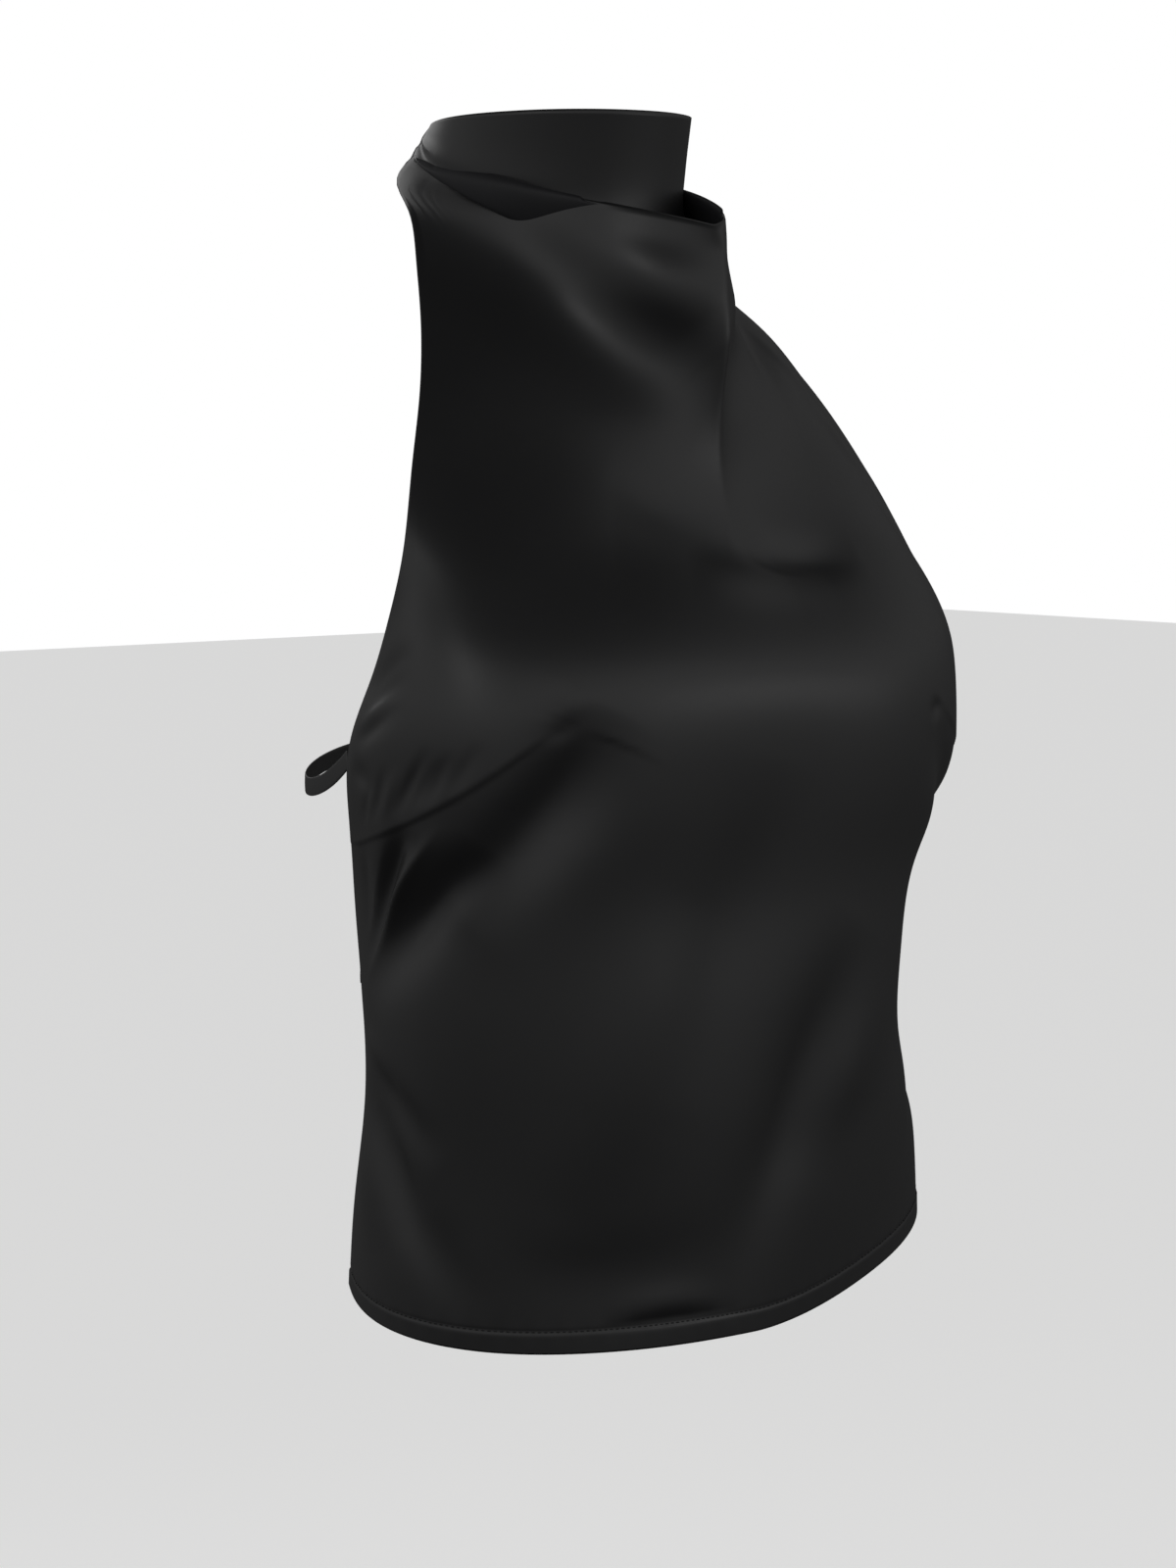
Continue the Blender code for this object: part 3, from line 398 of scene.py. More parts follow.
# %% Fold heights
def nearest_on(line, here):
    """For each point, its offset from the nearest place of a line, that place's share, and its side."""
    step = np.diff(line, axis=0)
    apart = here[:, None] - line[:-1]
    along = np.clip((apart * step).sum(2) / (step ** 2).sum(1), 0, 1)
    offset = apart - along[..., None] * step
    nearest = np.argmin(np.linalg.norm(offset, axis=2), axis=1)
    rows = np.arange(len(here))
    offset, step = offset[rows, nearest], step[nearest]
    place = (nearest + along[rows, nearest]) / (len(line) - 1)
    return offset, place, step[:, 0] * offset[:, 1] - step[:, 1] * offset[:, 0]


def fold_height(wide, up, half_width, folds):
    """Sum of the folds at each point of the flat panel, in mm out of its face.

    A fold's height is a bell of the distance to its curve, with one width on each side of it, times a
    swell that is full in the middle and dies at both ends. A crisp fold swaps the bell's top for a
    pointed one.
    """
    total = np.zeros_like(wide)
    share = np.linspace(0, 1, FOLD_SAMPLES)
    for fold in folds:
        line_across = natural_spline((fold.across_1, fold.across_2, fold.across_3), share * 2)
        line_up = natural_spline((fold.up_1, fold.up_2, fold.up_3), share * 2)
        line = np.stack([line_across * np.interp(line_up, up[:, 0], half_width), line_up], 1)
        reach = 3.2 * max(fold.left, fold.right)
        low, high = line.min(0) - reach, line.max(0) + reach
        near = (wide > low[0]) & (wide < high[0]) & (up > low[1]) & (up < high[1])
        if not near.any():
            continue
        offset, place, side = nearest_on(line, np.stack([wide[near], up[near]], 1))
        ratio = np.linalg.norm(offset, axis=1) / np.where(side > 0, fold.left, fold.right)
        bell = np.exp(-ratio ** 2)
        pointed = np.exp(-np.sqrt(ratio ** 2 + 0.02) / CRISP_WIDTH * 0.8)
        swell = np.sin(math.pi * place) ** 1.5
        total[near] += fold.height * swell * ((1 - fold.crisp) * bell + fold.crisp * pointed)
    return total


def grid_normals(points):
    """Unit normals of a grid of points, pointing out of the face side."""
    out = np.cross(np.gradient(points, axis=1), np.gradient(points, axis=0))
    return out / np.maximum(np.linalg.norm(out, axis=-1, keepdims=True), 1e-9)


# %% [markdown]
# ## Darts, hem and cloth unevenness
# A dart is a wedge of cloth sewn away, so outside it shows as a thin dark seam from the side edge to
# just short of the bust, where the cloth above laps a little over the cloth below. The hem is turned up
# and stitched, so its band is twice as thick, with a small step at the stitches. These are worked out on
# the same flat sizes as the folds. Last comes a slight waviness, because no hung cloth is even.

# %% Relief of darts and hem
HEM_DEEP = 9.5             # turned hem
DARTS = [                  # (across, up) at the side edge, the middle and the tip
    ((-1.0, 214), (-0.76, 229), (-0.50, 263)),
    ((1.0, 214), (0.76, 229), (0.47, 263)),
]
DART_LAP = 0.7             # the cloth above a dart's seam stands this far over the cloth below
DART_STEP = 0.7            # half the width of that step
DART_EASE = 7.0            # the lap eases away over this distance above the seam
DART_END = 0.12            # the lap dies over this share of the seam before its tip


def dart_line(dart, half_width, up_rows, samples=80):
    """A dart's seam on the flat panel, through its three points, as (wide, up) in mm."""
    share = np.linspace(0, 2, samples)
    line_across = natural_spline([point[0] for point in dart], share)
    line_up = natural_spline([point[1] for point in dart], share)
    return np.stack([line_across * np.interp(line_up, up_rows, half_width), line_up], 1)


def relief(wide, up, half_width):
    """Height of the seams, in mm: a low step down at each dart, and a step with a groove at the hem."""
    total = np.zeros_like(wide)
    for dart in DARTS:
        line = dart_line(dart, half_width, up[:, 0])
        low, high = line.min(0) - 12, line.max(0) + 12
        near = (wide > low[0]) & (wide < high[0]) & (up > low[1]) & (up < high[1])
        offset, place, _ = nearest_on(line, np.stack([wide[near], up[near]], 1))
        above = np.linalg.norm(offset, axis=1) * np.sign(offset[:, 1])
        fades = np.clip((1 - place) / DART_END, 0, 1) * np.exp(-np.clip(above, 0, None) / DART_EASE)
        total[near] += DART_LAP * (1 + np.tanh(above / DART_STEP)) / 2 * fades
    total += 0.45 * (1 - np.tanh((up - HEM_DEEP) / 0.5)) / 2 - 0.35 * np.exp(-((up - HEM_DEEP) / 0.8) ** 2)
    ripple = 0.16 * np.sin(wide * 0.9) * np.sin(wide * 0.37 + 2) * np.exp(-((up - HEM_DEEP) / 4.0) ** 2)
    return total + ripple


def unevenness(wide, up):
    """Slight waviness of hung cloth: four low sine waves of different lengths and headings."""
    return (0.35 * np.sin(wide / 31 + up / 47) * np.sin(up / 29 - wide / 83)
            + 0.22 * np.sin(wide / 17 - up / 23 + 1.3) * np.sin(up / 37 + wide / 41 + 0.4))


def folded_panel(numbers, across, detail=True):
    """The panel's face with folds and seams, its normals, and its flat coordinates, all in mm."""
    points, wide = panel_surface(numbers, across)
    up = np.repeat(up_the_front(numbers)[:, None], len(across), axis=1)
    half_width = np.interp(up[:, 0], up_the_front(np.arange(len(SECTIONS))), HALF_WIDTHS)
    smooth_normals = grid_normals(points)
    # where rows crowd together at the gathers, the folds get lower with them
    crowding = np.linalg.norm(np.gradient(points, axis=0), axis=2) / np.maximum(
        np.gradient(up, axis=0), 1e-6) if len(numbers) > 2 else np.ones_like(up)
    crowding = np.clip(crowding, 0.15, 1.0)
    height = fold_height(wide, up, half_width, FOLDS) * crowding
    if detail:
        height = height + unevenness(wide, up) * crowding
    edge_fade = np.clip((1 - np.abs(across)) / 0.03, 0, 1)
    height = height * edge_fade + (relief(wide, up, half_width) if detail else 0)
    points = points + smooth_normals * height[..., None]
    return points, grid_normals(points), wide, up


HALF_WIDTHS = sharp_surface(np.arange(len(SECTIONS)), np.array([0.0, 1.0]))[1][:, 1]
print("half widths run from", round(HALF_WIDTHS.min()), "to", round(HALF_WIDTHS.max()), "mm")

# %% [markdown]
# ## The cloth itself
# The top is a charcoal satin of polyester filament. In a satin weave most threads float on the face, so
# the face is smooth and has a broad soft gleam that runs along the floats, and the back is duller. The
# colour is a very dark neutral grey. The weave is 0.15 mm a thread, far too fine to see, so the bump
# shows thread bundles about four times as coarse.

# %% Satin materials
THREAD = 0.6 * MM          # one drawn bundle of threads


def satin(name, colour, roughness, gleam):
    """Woven satin: dark fibre with slight streaks along the warp, a soft gleam and a fine weave bump."""
    material = bpy.data.materials.new(name)
    material.use_nodes = True
    tree = material.node_tree
    shader = tree.nodes["Principled BSDF"]
    place = add_node(tree, "ShaderNodeUVMap", uv_map="flat")
    stretched = add_node(tree, "ShaderNodeMapping", [(place.outputs["UV"], "Vector")], Scale=(1, 0.16, 1))
    threads = add_node(tree, "ShaderNodeTexNoise", [(stretched.outputs["Vector"], "Vector")],
                       Scale=1 / THREAD, Detail=2.0, Roughness=0.6)
    clouds = add_node(tree, "ShaderNodeTexNoise", [(place.outputs["UV"], "Vector")], Scale=38.0, Detail=3.0)
    tone = add_node(tree, "ShaderNodeMixRGB", [(clouds.outputs["Fac"], "Fac")],
                    Color1=(*[c * 0.86 for c in linear(colour)], 1),
                    Color2=(*[c * 1.14 for c in linear(colour)], 1))
    streaks = add_node(tree, "ShaderNodeMapRange", [(threads.outputs["Fac"], "Value")])
    streaks.inputs["To Min"].default_value = roughness - 0.05
    streaks.inputs["To Max"].default_value = roughness + 0.05
    bump = add_node(tree, "ShaderNodeBump", [(threads.outputs["Fac"], "Height")],
                    Strength=0.35, Distance=0.03 * MM)
    tree.links.new(tone.outputs[0], shader.inputs["Base Color"])
    tree.links.new(streaks.outputs["Result"], shader.inputs["Roughness"])
    tree.links.new(bump.outputs["Normal"], shader.inputs["Normal"])
    shader.inputs["Specular IOR Level"].default_value = gleam
    shader.inputs["Anisotropic"].default_value = 0.35
    shader.inputs["Sheen Weight"].default_value = 0.01
    shader.inputs["Sheen Roughness"].default_value = 0.35
    return material


satin_face = satin("woven polyester satin, face", "#141415", 0.36, 0.40)
satin_back = satin("woven polyester satin, back", "#1D1D1F", 0.60, 0.22)
satin_strap = satin("woven polyester satin, bias strap", "#151516", 0.36, 0.40)
print("satins:", satin_face.name, "/", satin_back.name)


# %% Mesh helper
def piece(name, points, faces, materials, uv=None):
    """One mesh object from points in mm: faces as index rows, an optional flat UV in mm for each point."""
    points = np.asarray(points, float) * MM
    mesh = bpy.data.meshes.new(name)
    mesh.from_pydata(points, [], faces)
    for material in materials:
        mesh.materials.append(material)
    layer = mesh.uv_layers.new(name="flat")
    if uv is None:
        uv = points[:, [0, 2]] / MM
    corners = np.empty(len(mesh.loops), int)
    mesh.loops.foreach_get("vertex_index", corners)
    layer.data.foreach_set("uv", (np.asarray(uv)[corners] * MM).ravel())
    mesh.polygons.foreach_set("use_smooth", np.ones(len(mesh.polygons), bool))
    mesh.update()
    made = bpy.data.objects.new(name, mesh)
    bpy.context.scene.collection.objects.link(made)
    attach(made, "root")
    return made


def grid_faces(rows, columns):
    """Quads of a grid whose columns run across and whose rows run up."""
    index = np.arange(rows * columns).reshape(rows, columns)
    return np.stack([index[:-1, :-1], index[:-1, 1:], index[1:, 1:], index[1:, :-1]], -1).reshape(-1, 4)


# %% [markdown]
# ## Front panel
# The whole front, cowl and collar are one piece of cloth, so they are one grid. It is finer where there
# is more to show: at the hem's stitches, at the darts and in the cowl. A Solidify modifier gives it
# the wall of a turned edge, with the duller back of the satin inside.

# %% Front panel
RowBand = namedtuple("RowBand", "up_from up_to step")
ROW_BANDS = [RowBand(*row) for row in (
    (0, 14, 0.9),
    (14, 137, 3.0),
    (137, 207, 2.2),
    (207, 279, 1.3),
    (279, 352, 2.4),
    (352, 477, 2.2),
    (477, 537, 1.8),
    (537, FINE_UP[-1], 2.2),
)]
CLOTH = 0.9                # wall of the shown cloth

row_ups = np.unique(np.concatenate([
    np.linspace(band.up_from, band.up_to, int(round((band.up_to - band.up_from) / band.step)) + 1)
    for band in ROW_BANDS]))
# columns crowd a little towards both side edges, where the puckers are
even = np.linspace(-1, 1, 221)
shares = even * 0.82 + 0.18 * np.sin(even * math.pi / 2)
front, _, front_wide, front_up = folded_panel(number_at(row_ups), shares)
flat = np.stack([front_wide, front_up], -1).reshape(-1, 2)
front_panel = piece("front_panel_satin", front.reshape(-1, 3), grid_faces(*front.shape[:2]),
                    [satin_face, satin_back], flat)
wall = front_panel.modifiers.new("cloth wall", "SOLIDIFY")
wall.thickness, wall.offset, wall.material_offset = CLOTH * MM, -1, 1
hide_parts("front_panel")
flat_area = float(np.sum(np.linalg.norm(np.cross(
    np.diff(front, axis=0)[:, :-1], np.diff(front, axis=1)[:-1]), axis=2))) * MM * MM
print("panel grid", front.shape[:2], "area", round(flat_area, 4), "m2")


# %% [markdown]
# ## Things sewn to the panel
# A strip on the panel is made from the panel's own points, moved out or in along its normals, so it
# follows every fold. The hem's turning and the turned side and armhole edges lie inside.

# %% Strips on the panel
def panel_strip(name, numbers, across, out, thick, materials):
    """Strip over part of the panel: its points moved out by a distance, with its own thin wall."""
    points, normals, wide, up = folded_panel(numbers, across)
    points = points + normals * out
    made = piece(name, points.reshape(-1, 3), grid_faces(*points.shape[:2]), materials,
                 np.stack([wide, up], -1).reshape(-1, 2))
    wall = made.modifiers.new("wall", "SOLIDIFY")
    wall.thickness, wall.offset = thick * MM, -1
    return made


inside = -(CLOTH + 0.15)
panel_strip("hem_turning", number_at(np.linspace(0.6, HEM_DEEP + 1.2, 9)), np.linspace(-0.99, 0.99, 161),
            inside, 0.4, [satin_face])
facing_ups = np.linspace(4, 500, 190)
for side, name in ((-1, "right"), (1, "left")):
    lines = np.linspace(0.955, 0.996, 5)
    panel_strip(f"side_facing_{name}", number_at(facing_ups), np.sort(side * lines), inside, 0.4,
                [satin_face])
print("inside turnings made")


# %% Stitches
def stitches(name, middles, forwards, normals, long, thick, material):
    """Row of sewn stitches: each a low six-sided lozenge lying along its seam, tapered to both ends."""
    count = len(middles)
    sideways = np.cross(normals, forwards)
    along = np.array([-0.5, -0.3, 0.3, 0.5]) * long
    girth = np.array([0.25, 1.0, 1.0, 0.25]) * thick / 2
    turn = np.arange(6) * math.pi / 3
    ring = np.cos(turn)[:, None, None] * sideways[None] + 0.8 * np.sin(turn)[:, None, None] * normals[None]
    points = (middles[None, None] + along[:, None, None, None] * forwards[None, None]
              + girth[:, None, None, None] * ring[None])
    points = points.transpose(2, 0, 1, 3).reshape(-1, 3)
    one = np.arange(24).reshape(4, 6)
    turned = np.roll(one, -1, axis=1)
    sides = np.stack([one[:-1], turned[:-1], turned[1:], one[1:]], -1).reshape(-1, 4)
    caps = np.array([[0, 3, 2, 1], [0, 5, 4, 3], [18, 19, 20, 21], [18, 21, 22, 23]])
    single = np.concatenate([sides[:, ::-1], caps[:, ::-1]])
    faces = (single[None] + 24 * np.arange(count)[:, None, None]).reshape(-1, 4)
    return piece(name, points, faces, [material])


def thread_material(name, colour):
    """Spun polyester sewing thread: plain dark fibre with a dull gleam and a fine twist bump."""
    material = bpy.data.materials.new(name)
    material.use_nodes = True
    tree = material.node_tree
    shader = tree.nodes["Principled BSDF"]
    place = add_node(tree, "ShaderNodeTexCoord")
    twist = add_node(tree, "ShaderNodeTexNoise", [(place.outputs["Object"], "Vector")], Scale=2500.0)
    bump = add_node(tree, "ShaderNodeBump", [(twist.outputs["Fac"], "Height")],
                    Strength=0.4, Distance=0.05 * MM)
    tree.links.new(bump.outputs["Normal"], shader.inputs["Normal"])
    shader.inputs["Base Color"].default_value = (*linear(colour), 1)
    shader.inputs["Roughness"].default_value = 0.6
    shader.inputs["Specular IOR Level"].default_value = 0.3
    return material


thread = thread_material("spun polyester thread, black", "#121213")
STITCH = 2.6               # length of one stitch and its gap
hem_across = np.linspace(-0.985, 0.985, 1200)
hem_rows = number_at(np.array([HEM_DEEP - 0.4, HEM_DEEP, HEM_DEEP + 0.4]))
hem_points, hem_normals, _, _ = folded_panel(hem_rows, hem_across)
hem_line = hem_points[1]
hem_run = lengths(hem_line)
places = np.arange(STITCH, hem_run[-1] - STITCH, STITCH)
middles = along_line(hem_line, places)
forwards = along_line(hem_line, places + 0.8) - along_line(hem_line, places - 0.8)
forwards /= np.linalg.norm(forwards, axis=1, keepdims=True)
upright = np.stack([np.interp(places, hem_run, hem_normals[1][:, k]) for k in range(3)], 1)
stitches("hem_stitches", middles + upright * 0.12, forwards, upright, STITCH * 0.62, 0.5, thread)
print(len(places), "hem stitches")


# %% [markdown]
# ## Straps, tab and nape bands
# The back is held by two straps 8 mm wide, folded and sewn from the same satin. Each is a flat profile
# with soft edges, carried along the strap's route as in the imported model. The nape bands are double
# cloth round the back of the neck. They take the gathered edge between their two layers, and lap at
# centre back.

# %% Routes of the straps
STRAP_WIDTH, STRAP_THICK = 8.0, 1.0
STRAP_TURN = 25.0          # length in which a strap turns from its edge's slant to upright
SEAM_GAP, LAYER_GAP, CLOTH_WALL = 0.4, 0.3, 1.2
BackStrap = namedtuple("BackStrap", "y z side_reach back_reach drop")
UPPER_BACK = BackStrap(85.0, -249.0, 80.0, 90.0, 0.30)
LOWER_BACK = BackStrap(46.0, -350.0, 40.0, 60.0, 0.0)
UPPER_STRAP_UP, LOWER_STRAP_UP = 258.0, 145.0
RING_LENGTH, RING_WIRE = 9.0, 0.65
SLIDER_FROM_RING, SLIDER_WIRE, SLIDER_OUT = 40.0, 0.6, 2.05
LONG_LAYER = ((-9.0, 0.65), (-5.5, 0.65), (-4.2, 1.35), (-2.7, 3.2), (-1.3, 4.55), (0.0, 4.9),
              (1.3, 4.55), (2.7, 3.2), (4.2, 1.35), (5.5, 0.65), (9.0, 0.65), (14.0, 0.65))


def edge_frame(up, side):
    """Point of a side edge, with unit vectors on past it, out of it and up it."""
    number = number_at(up)
    across = np.array([0.99, 1.0]) if side > 0 else np.array([-1.0, -0.99])
    points, _ = panel_surface(np.array([number - 0.05, number, number + 0.05]), across)
    at = 1 if side > 0 else 0
    past = (points[1, 1] - points[1, 0]) * side
    rise = points[2, at] - points[0, at]
    past, rise = past / np.linalg.norm(past), rise / np.linalg.norm(rise)
    out = np.cross(rise, past) * -side
    return points[1, at], past, out / np.linalg.norm(out), rise


def round_the_back(start, start_past, end, end_past, back):
    """Line in space from one side edge round the back to the other, level at centre back."""
    middle = np.array([0.0, back.y, back.z])
    sideways = np.array([back.back_reach, 0.0, 0.0])
    drop = np.array([0.0, 0.0, -back.drop])
    right = bezier(start, start + (start_past + drop) * back.side_reach, middle - sideways, middle)
    left = bezier(middle, middle + sideways, end + (end_past + drop) * back.side_reach, end)
    return np.concatenate([right, left[1:]])


def strap(middle, across, width, thick):
    """Flat strap with rounded edges: a 16-point lozenge-edged profile carried along a line of points."""
    forward = np.gradient(middle, axis=0)
    forward /= np.linalg.norm(forward, axis=1, keepdims=True)
    across = across - (across * forward).sum(1, keepdims=True) * forward
    across /= np.linalg.norm(across, axis=1, keepdims=True)
    out = np.cross(forward, across)
    turn = np.arange(16) * math.pi / 8
    side = np.sign(np.cos(turn)) * np.abs(np.cos(turn)) ** 0.35 * width / 2
    face = np.sign(np.sin(turn)) * np.abs(np.sin(turn)) ** 0.8 * thick / 2
    # a shallow channel lies inside each edge, where the strap is topstitched
    face = face * (1 - 0.12 * np.exp(-((np.abs(side) - width * 0.36) / 0.5) ** 2))
    points = middle[:, None] + side[None, :, None] * across[:, None] + face[None, :, None] * out[:, None]
    rows, columns = points.shape[:2]
    index = np.arange(rows * columns).reshape(rows, columns)
    turned = np.roll(index, -1, axis=1)
    faces = np.stack([index[:-1], turned[:-1], turned[1:], index[1:]], -1).reshape(-1, 4)[:, ::-1].tolist()
    faces += [index[0].tolist(), index[-1, ::-1].tolist()]
    mesh_uv = np.stack([np.repeat(side[None], rows, 0), np.repeat(lengths(middle)[:, None], columns, 1)], -1)
    return points.reshape(-1, 3), faces, mesh_uv.reshape(-1, 2)


def strap_piece(name, middle, across, node):
    """One satin strap that stands for its CAD node."""
    points, faces, uv = strap(middle, across, STRAP_WIDTH, STRAP_THICK)
    made = piece(name, points, faces, [satin_strap], uv)
    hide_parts(node)
    return made


def blend_across(distance, run, start_across, end_across):
    """Unit vectors across a strap: slanted like the edge it is sewn to, then upright within STRAP_TURN."""
    upright = np.array([0.0, 0.0, 1.0])
    near_start = np.clip(1 - distance / STRAP_TURN, 0, 1)[:, None]
    near_end = np.clip(1 - (run - distance) / STRAP_TURN, 0, 1)[:, None]
    across = start_across * near_start + end_across * near_end + upright * (1 - near_start - near_end)
    return across / np.linalg.norm(across, axis=1, keepdims=True)


right_end, right_past, right_out, right_rise = edge_frame(UPPER_STRAP_UP, -1)
left_end, left_past, left_out, left_rise = edge_frame(UPPER_STRAP_UP, 1)
upper_route = round_the_back(right_end + right_past * SEAM_GAP - right_out * CLOTH_WALL / 2, right_past,
                             left_end + left_past * SEAM_GAP - left_out * CLOTH_WALL / 2, left_past,
                             UPPER_BACK)
upper_run = lengths(upper_route)[-1]
upper_distance = np.linspace(0, upper_run, 200)
upper_middle = along_line(upper_route, upper_distance)
upper_across = blend_across(upper_distance, upper_run, right_rise, left_rise)
strap_piece("upper_strap_satin", upper_middle, upper_across, "upper_strap")
print("upper strap", round(upper_run), "mm")

# %% Ring tab and waist strap
edge, past, out, rise = edge_frame(LOWER_STRAP_UP, -1)
TAB_LEG_OUT = -(CLOTH_WALL + 2 * LAYER_GAP + STRAP_THICK / 2)
RING_OUT = TAB_LEG_OUT - (STRAP_THICK + LAYER_GAP) / 2
RING_PAST = 2.8
RING_WRAP = RING_WIRE + LAYER_GAP + STRAP_THICK / 2
half_gap = (STRAP_THICK + LAYER_GAP) / 2
bar_spacing = RING_LENGTH - 2 * RING_WIRE


def smooth_path(knots, samples):
    """Natural spline through plane points, sampled evenly by knot number."""
    knots = np.asarray(knots, float)
    at = np.linspace(0, len(knots) - 1, samples)
    return np.stack([natural_spline(knots[:, k], at) for k in (0, 1)], 1)


def hairpin(leg, wrap, steps=13):
    """Doubled line round a bar at (0, 0), in mm along and out: one leg, half a turn, the other leg."""
    turn = np.radians(np.linspace(90, -90, steps))
    bend = np.stack([wrap * np.cos(turn), wrap * np.sin(turn)], 1)
    upper = np.array([(-leg, half_gap), (-0.6 * leg, half_gap),
                      (-1.5 * wrap, half_gap + 0.35 * (wrap - half_gap))])
    return np.concatenate([upper, bend, upper[::-1] * (1, -1)])


tab = hairpin(7.5, RING_WRAP)
tab_middle = edge + np.outer(tab[:, 0] + RING_PAST, past) + np.outer(tab[:, 1] + RING_OUT, out)
strap_piece("ring_tab_satin", tab_middle, np.repeat(rise[None], len(tab_middle), 0), "ring_tab")

ring_centre = edge + past * (RING_PAST + bar_spacing / 2) + out * RING_OUT
rear_bar = ring_centre + past * bar_spacing / 2
far_edge, far_past, far_out, far_rise = edge_frame(LOWER_STRAP_UP, 1)
waist_route = round_the_back(rear_bar, past, far_edge + far_past * SEAM_GAP - far_out * CLOTH_WALL / 2,
                             far_past, LOWER_BACK)


def beside_route(line, along, outward):
    """Points at a distance along a line and out from it, away from the body; straight before its start."""
    run = lengths(line)[-1]
    here = along_line(line, np.clip(along, 0, run))
    forward = along_line(line, np.clip(along, 0, run - 1) + 1) - along_line(line, np.clip(along, 0, run - 1))
    forward /= np.linalg.norm(forward, axis=1, keepdims=True)
    aside = np.cross(np.array([0.0, 0.0, 1.0]), forward)
    aside /= np.linalg.norm(aside, axis=1, keepdims=True)
    here = here + forward * np.clip(along, None, 0)[:, None]
    return here + aside * np.asarray(outward)[:, None], np.cross(forward, aside)


slide = SLIDER_FROM_RING
loop = SLIDER_WIRE + LAYER_GAP + STRAP_THICK / 2
loop_turn = np.radians(np.linspace(125, -90, 15))
end_loop = np.stack([slide + loop * np.cos(loop_turn), SLIDER_OUT + loop * np.sin(loop_turn)], 1)
end_leg = [(slide - 2.6, -0.2), (slide - 4.5, -half_gap), (slide - 14, -half_gap), (10, -half_gap),
           (4.5, -half_gap), (1.9, -RING_WRAP + 0.15)]
ring_turn = np.radians(np.linspace(-90, -270, 13))
ring_bend = np.stack([RING_WRAP * np.cos(ring_turn), RING_WRAP * np.sin(ring_turn)], 1)
out_leg = [(1.9, RING_WRAP - 0.15), (4.5, half_gap), (10, half_gap), (slide - 20, half_gap)]
weave = smooth_path(LONG_LAYER, 60) + (slide, 0)
run = lengths(waist_route)[-1]
rest = np.linspace(weave[-1, 0], run, 90)[1:]
path = np.concatenate([end_loop, end_leg, ring_bend, out_leg, weave,
                       np.stack([rest, half_gap * np.clip((run - rest) / 60, 0, 1)], 1)])
lower_middle, lower_up = beside_route(waist_route, path[:, 0], path[:, 1])
near_end = np.clip(1 - (run - path[:, 0]) / STRAP_TURN, 0, 1)[:, None]
near_ring = np.clip(1 - path[:, 0] / STRAP_TURN, 0, 1)[:, None]
lower_across = lower_up * (1 - near_end - near_ring) + far_rise * near_end + rise * near_ring
strap_piece("lower_strap_satin", lower_middle, lower_across, "lower_strap")
lower_run = lengths(lower_middle)[-1]
print("waist strap", round(lower_run), "mm with its return")

# %% Nape bands and covered buttons
NeckRing = namedtuple("NeckRing", "radius y_centre z")
NECK_BASE, NECK_TOP = NeckRing(63.0, 2.0, 3.0), NeckRing(57.0, -15.0, 26.0)
NECK_SEAM_ANGLE, BAND_THICK, BAND_OVERLAP = 51.0, 2.0, 14.0


def neck_cone(angle, level, out=0.0):
    """Points of the leaning neck cone: angle from centre back in degrees (wearer's left is +)."""
    radius, y_centre, z = (a + (b - a) * level for a, b in zip(NECK_BASE, NECK_TOP))
    turn = np.radians(angle)
    return np.stack([(radius + out) * np.sin(turn), y_centre + (radius + out) * np.cos(turn),
                     z + 0 * turn], -1)


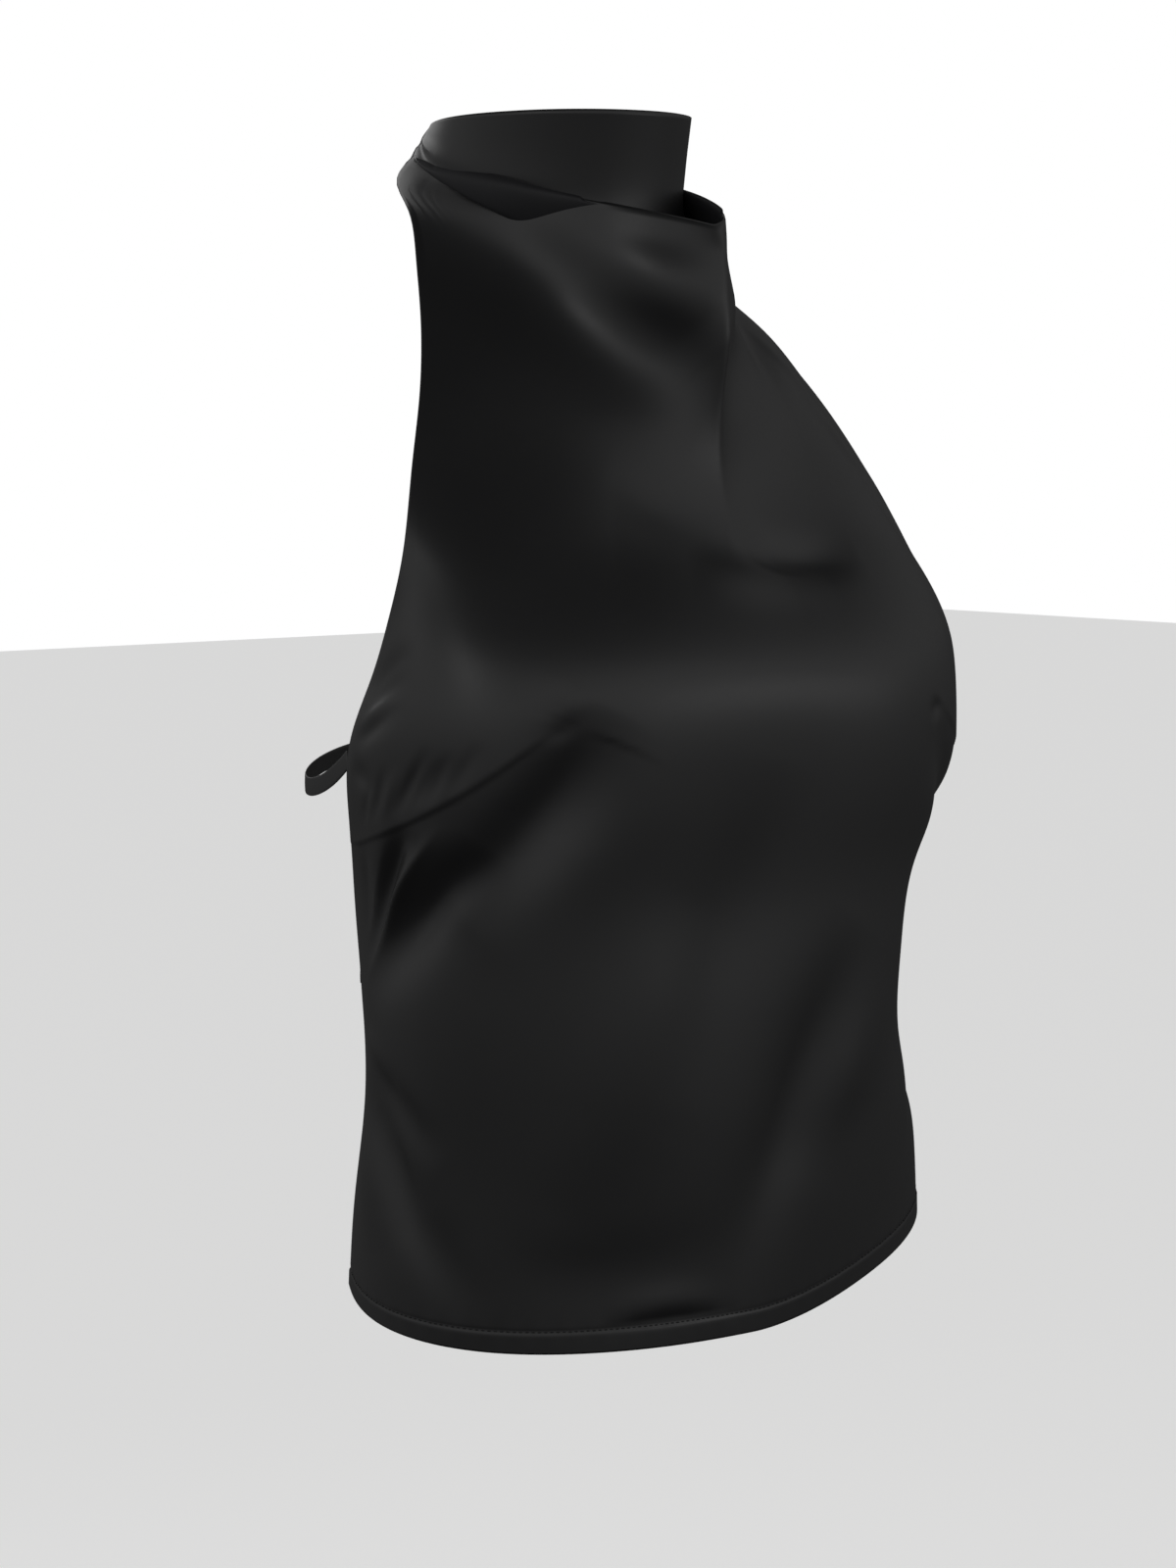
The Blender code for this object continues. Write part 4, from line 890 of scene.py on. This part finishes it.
def nape_band(name, side, lap, out, node):
    """Double band from the gathered edge to centre back: two grids of the neck cone, closed round the rim.

    The first columns take the panel's edge points, and settle on the cone within two fifths of the band.
    """
    levels = np.linspace(0.0, 1.0, 13)
    gather, top = section_number("gather"), section_number("top")
    numbers = gather + (0.04 + 0.96 * levels) * (top - gather)
    edge_shares = np.array([0.97, 1.0]) * side if side > 0 else np.array([-1.0, -0.97])
    rim, _ = panel_surface(numbers, edge_shares)
    rim_edge, rim_before = (rim[:, 1], rim[:, 0]) if side > 0 else (rim[:, 0], rim[:, 1])
    onward = rim_edge - rim_before
    onward[:, 2] = 0
    onward /= np.linalg.norm(onward, axis=1, keepdims=True)
    first = rim_edge + onward * 0.1
    heights = np.clip((first[:, 2] - NECK_BASE.z) / (NECK_TOP.z - NECK_BASE.z), 0, 1)
    share = np.linspace(0, 1, 60)
    angles = side * (NECK_SEAM_ANGLE + (lap / NECK_BASE.radius * 180 / math.pi - NECK_SEAM_ANGLE) * share)
    easing = np.clip(share * 1.6, 0, 1)
    away = out * easing * easing * (3 - 2 * easing) - CLOTH_WALL / 2
    grids = []
    for offset in (BAND_THICK / 2, -BAND_THICK / 2):
        rows = []
        for level, height, start in zip(levels, heights, first):
            blended = height + (level - height) * np.clip(share * 2, 0, 1)
            pad = offset * (1 - 0.35 * abs(2 * level - 1) ** 6)
            line = neck_cone(angles, blended, away + pad)
            base = neck_cone(angles[:1], height, 0.0)[0]
            rows.append(line + (start - base) * ((1 - np.clip(share * 2.5, 0, 1)) ** 2)[:, None])
        grids.append(np.array(rows))
    outer, inner = grids
    rows, columns = outer.shape[:2]
    quads = grid_faces(rows, columns)
    index = np.arange(rows * columns).reshape(rows, columns)
    rim_index = np.concatenate([index[0, :], index[1:, -1], index[-1, -2::-1], index[-2:0:-1, 0]])
    following = np.roll(rim_index, -1)
    below = rows * columns
    rim_faces = np.stack([rim_index, rim_index + below, following + below, following], -1)
    faces = np.concatenate([quads, quads[:, ::-1] + below, rim_faces])
    if side > 0:
        faces = faces[:, ::-1]
    flat = np.stack(np.meshgrid(share * 60, levels * 24), -1).reshape(-1, 2)
    made = piece(name, np.concatenate([outer.reshape(-1, 3), inner.reshape(-1, 3)]), faces, [satin_face],
                 np.concatenate([flat, flat]))
    rounding = made.modifiers.new("soft edges", "BEVEL")
    rounding.width, rounding.segments, rounding.limit_method = 0.5 * MM, 3, "ANGLE"
    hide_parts(node)
    return made


for side, word, lift in ((-1, "right", BAND_THICK + LAYER_GAP), (1, "left", 0.0)):
    band = nape_band(f"nape_band_{word}_satin", side, -BAND_OVERLAP / 2, lift, f"nape_band_{word}")

lean = math.atan2(NECK_BASE.radius + NECK_BASE.y_centre - NECK_TOP.radius - NECK_TOP.y_centre,
                  NECK_TOP.z - NECK_BASE.z)
button_out = np.array([0.0, math.cos(lean), math.sin(lean)])
button_side = np.array([1.0, 0.0, 0.0])
button_up = np.cross(button_side, button_out) * -1
BUTTON_SIDES = 40
for number in (1, 2):
    low, high = (np.array(corner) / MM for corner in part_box(f"nape_button_{number}"))
    middle = (low + high) / 2
    # a covered button's half profile, from the centre of its back round the rim to its crown
    radius = np.array([0.0, 3.2, 3.85, 4.0, 3.85, 3.3, 2.4, 1.2, 0.0])
    height = np.array([-0.9, -0.9, -0.75, -0.35, 0.1, 0.5, 0.78, 0.9, 0.92])
    turn = np.arange(BUTTON_SIDES) * 2 * math.pi / BUTTON_SIDES
    ring = np.cos(turn)[:, None] * button_side + np.sin(turn)[:, None] * button_up
    points = middle + radius[:, None, None] * ring[None] + height[:, None, None] * button_out
    index = np.arange(points.shape[0] * BUTTON_SIDES).reshape(-1, BUTTON_SIDES)
    turned = np.roll(index, -1, axis=1)
    quads = np.stack([index[:-1], turned[:-1], turned[1:], index[1:]], -1).reshape(-1, 4)
    dome = piece(f"covered_button_{number}", points.reshape(-1, 3), quads, [satin_face])
    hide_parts(f"nape_button_{number}")
print("nape bands and buttons made")

# %% [markdown]
# ## Polished metal
# The ring and the slider are bent or cast from steel or zinc and nickel plated, so they mirror the room,
# slightly warm, with a few fine scuffs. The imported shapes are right, so only their material changes.

# %% Nickel
nickel = bpy.data.materials.new("nickel plated zinc, polished")
nickel.use_nodes = True
tree = nickel.node_tree
shader = tree.nodes["Principled BSDF"]
place = add_node(tree, "ShaderNodeTexCoord")
scuffs = add_node(tree, "ShaderNodeTexNoise", [(place.outputs["Object"], "Vector")], Scale=900.0, Detail=4.0)
dullness = add_node(tree, "ShaderNodeMapRange", [(scuffs.outputs["Fac"], "Value")])
dullness.inputs["To Min"].default_value, dullness.inputs["To Max"].default_value = 0.14, 0.26
tree.links.new(dullness.outputs["Result"], shader.inputs["Roughness"])
shader.inputs["Base Color"].default_value = (*linear("#cfccc6"), 1)
shader.inputs["Metallic"].default_value = 1.0
for name in ("strap_ring", "strap_slider"):
    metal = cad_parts[name]
    metal.data.materials.clear()
    metal.data.materials.append(nickel)
print("metal:", nickel.name)
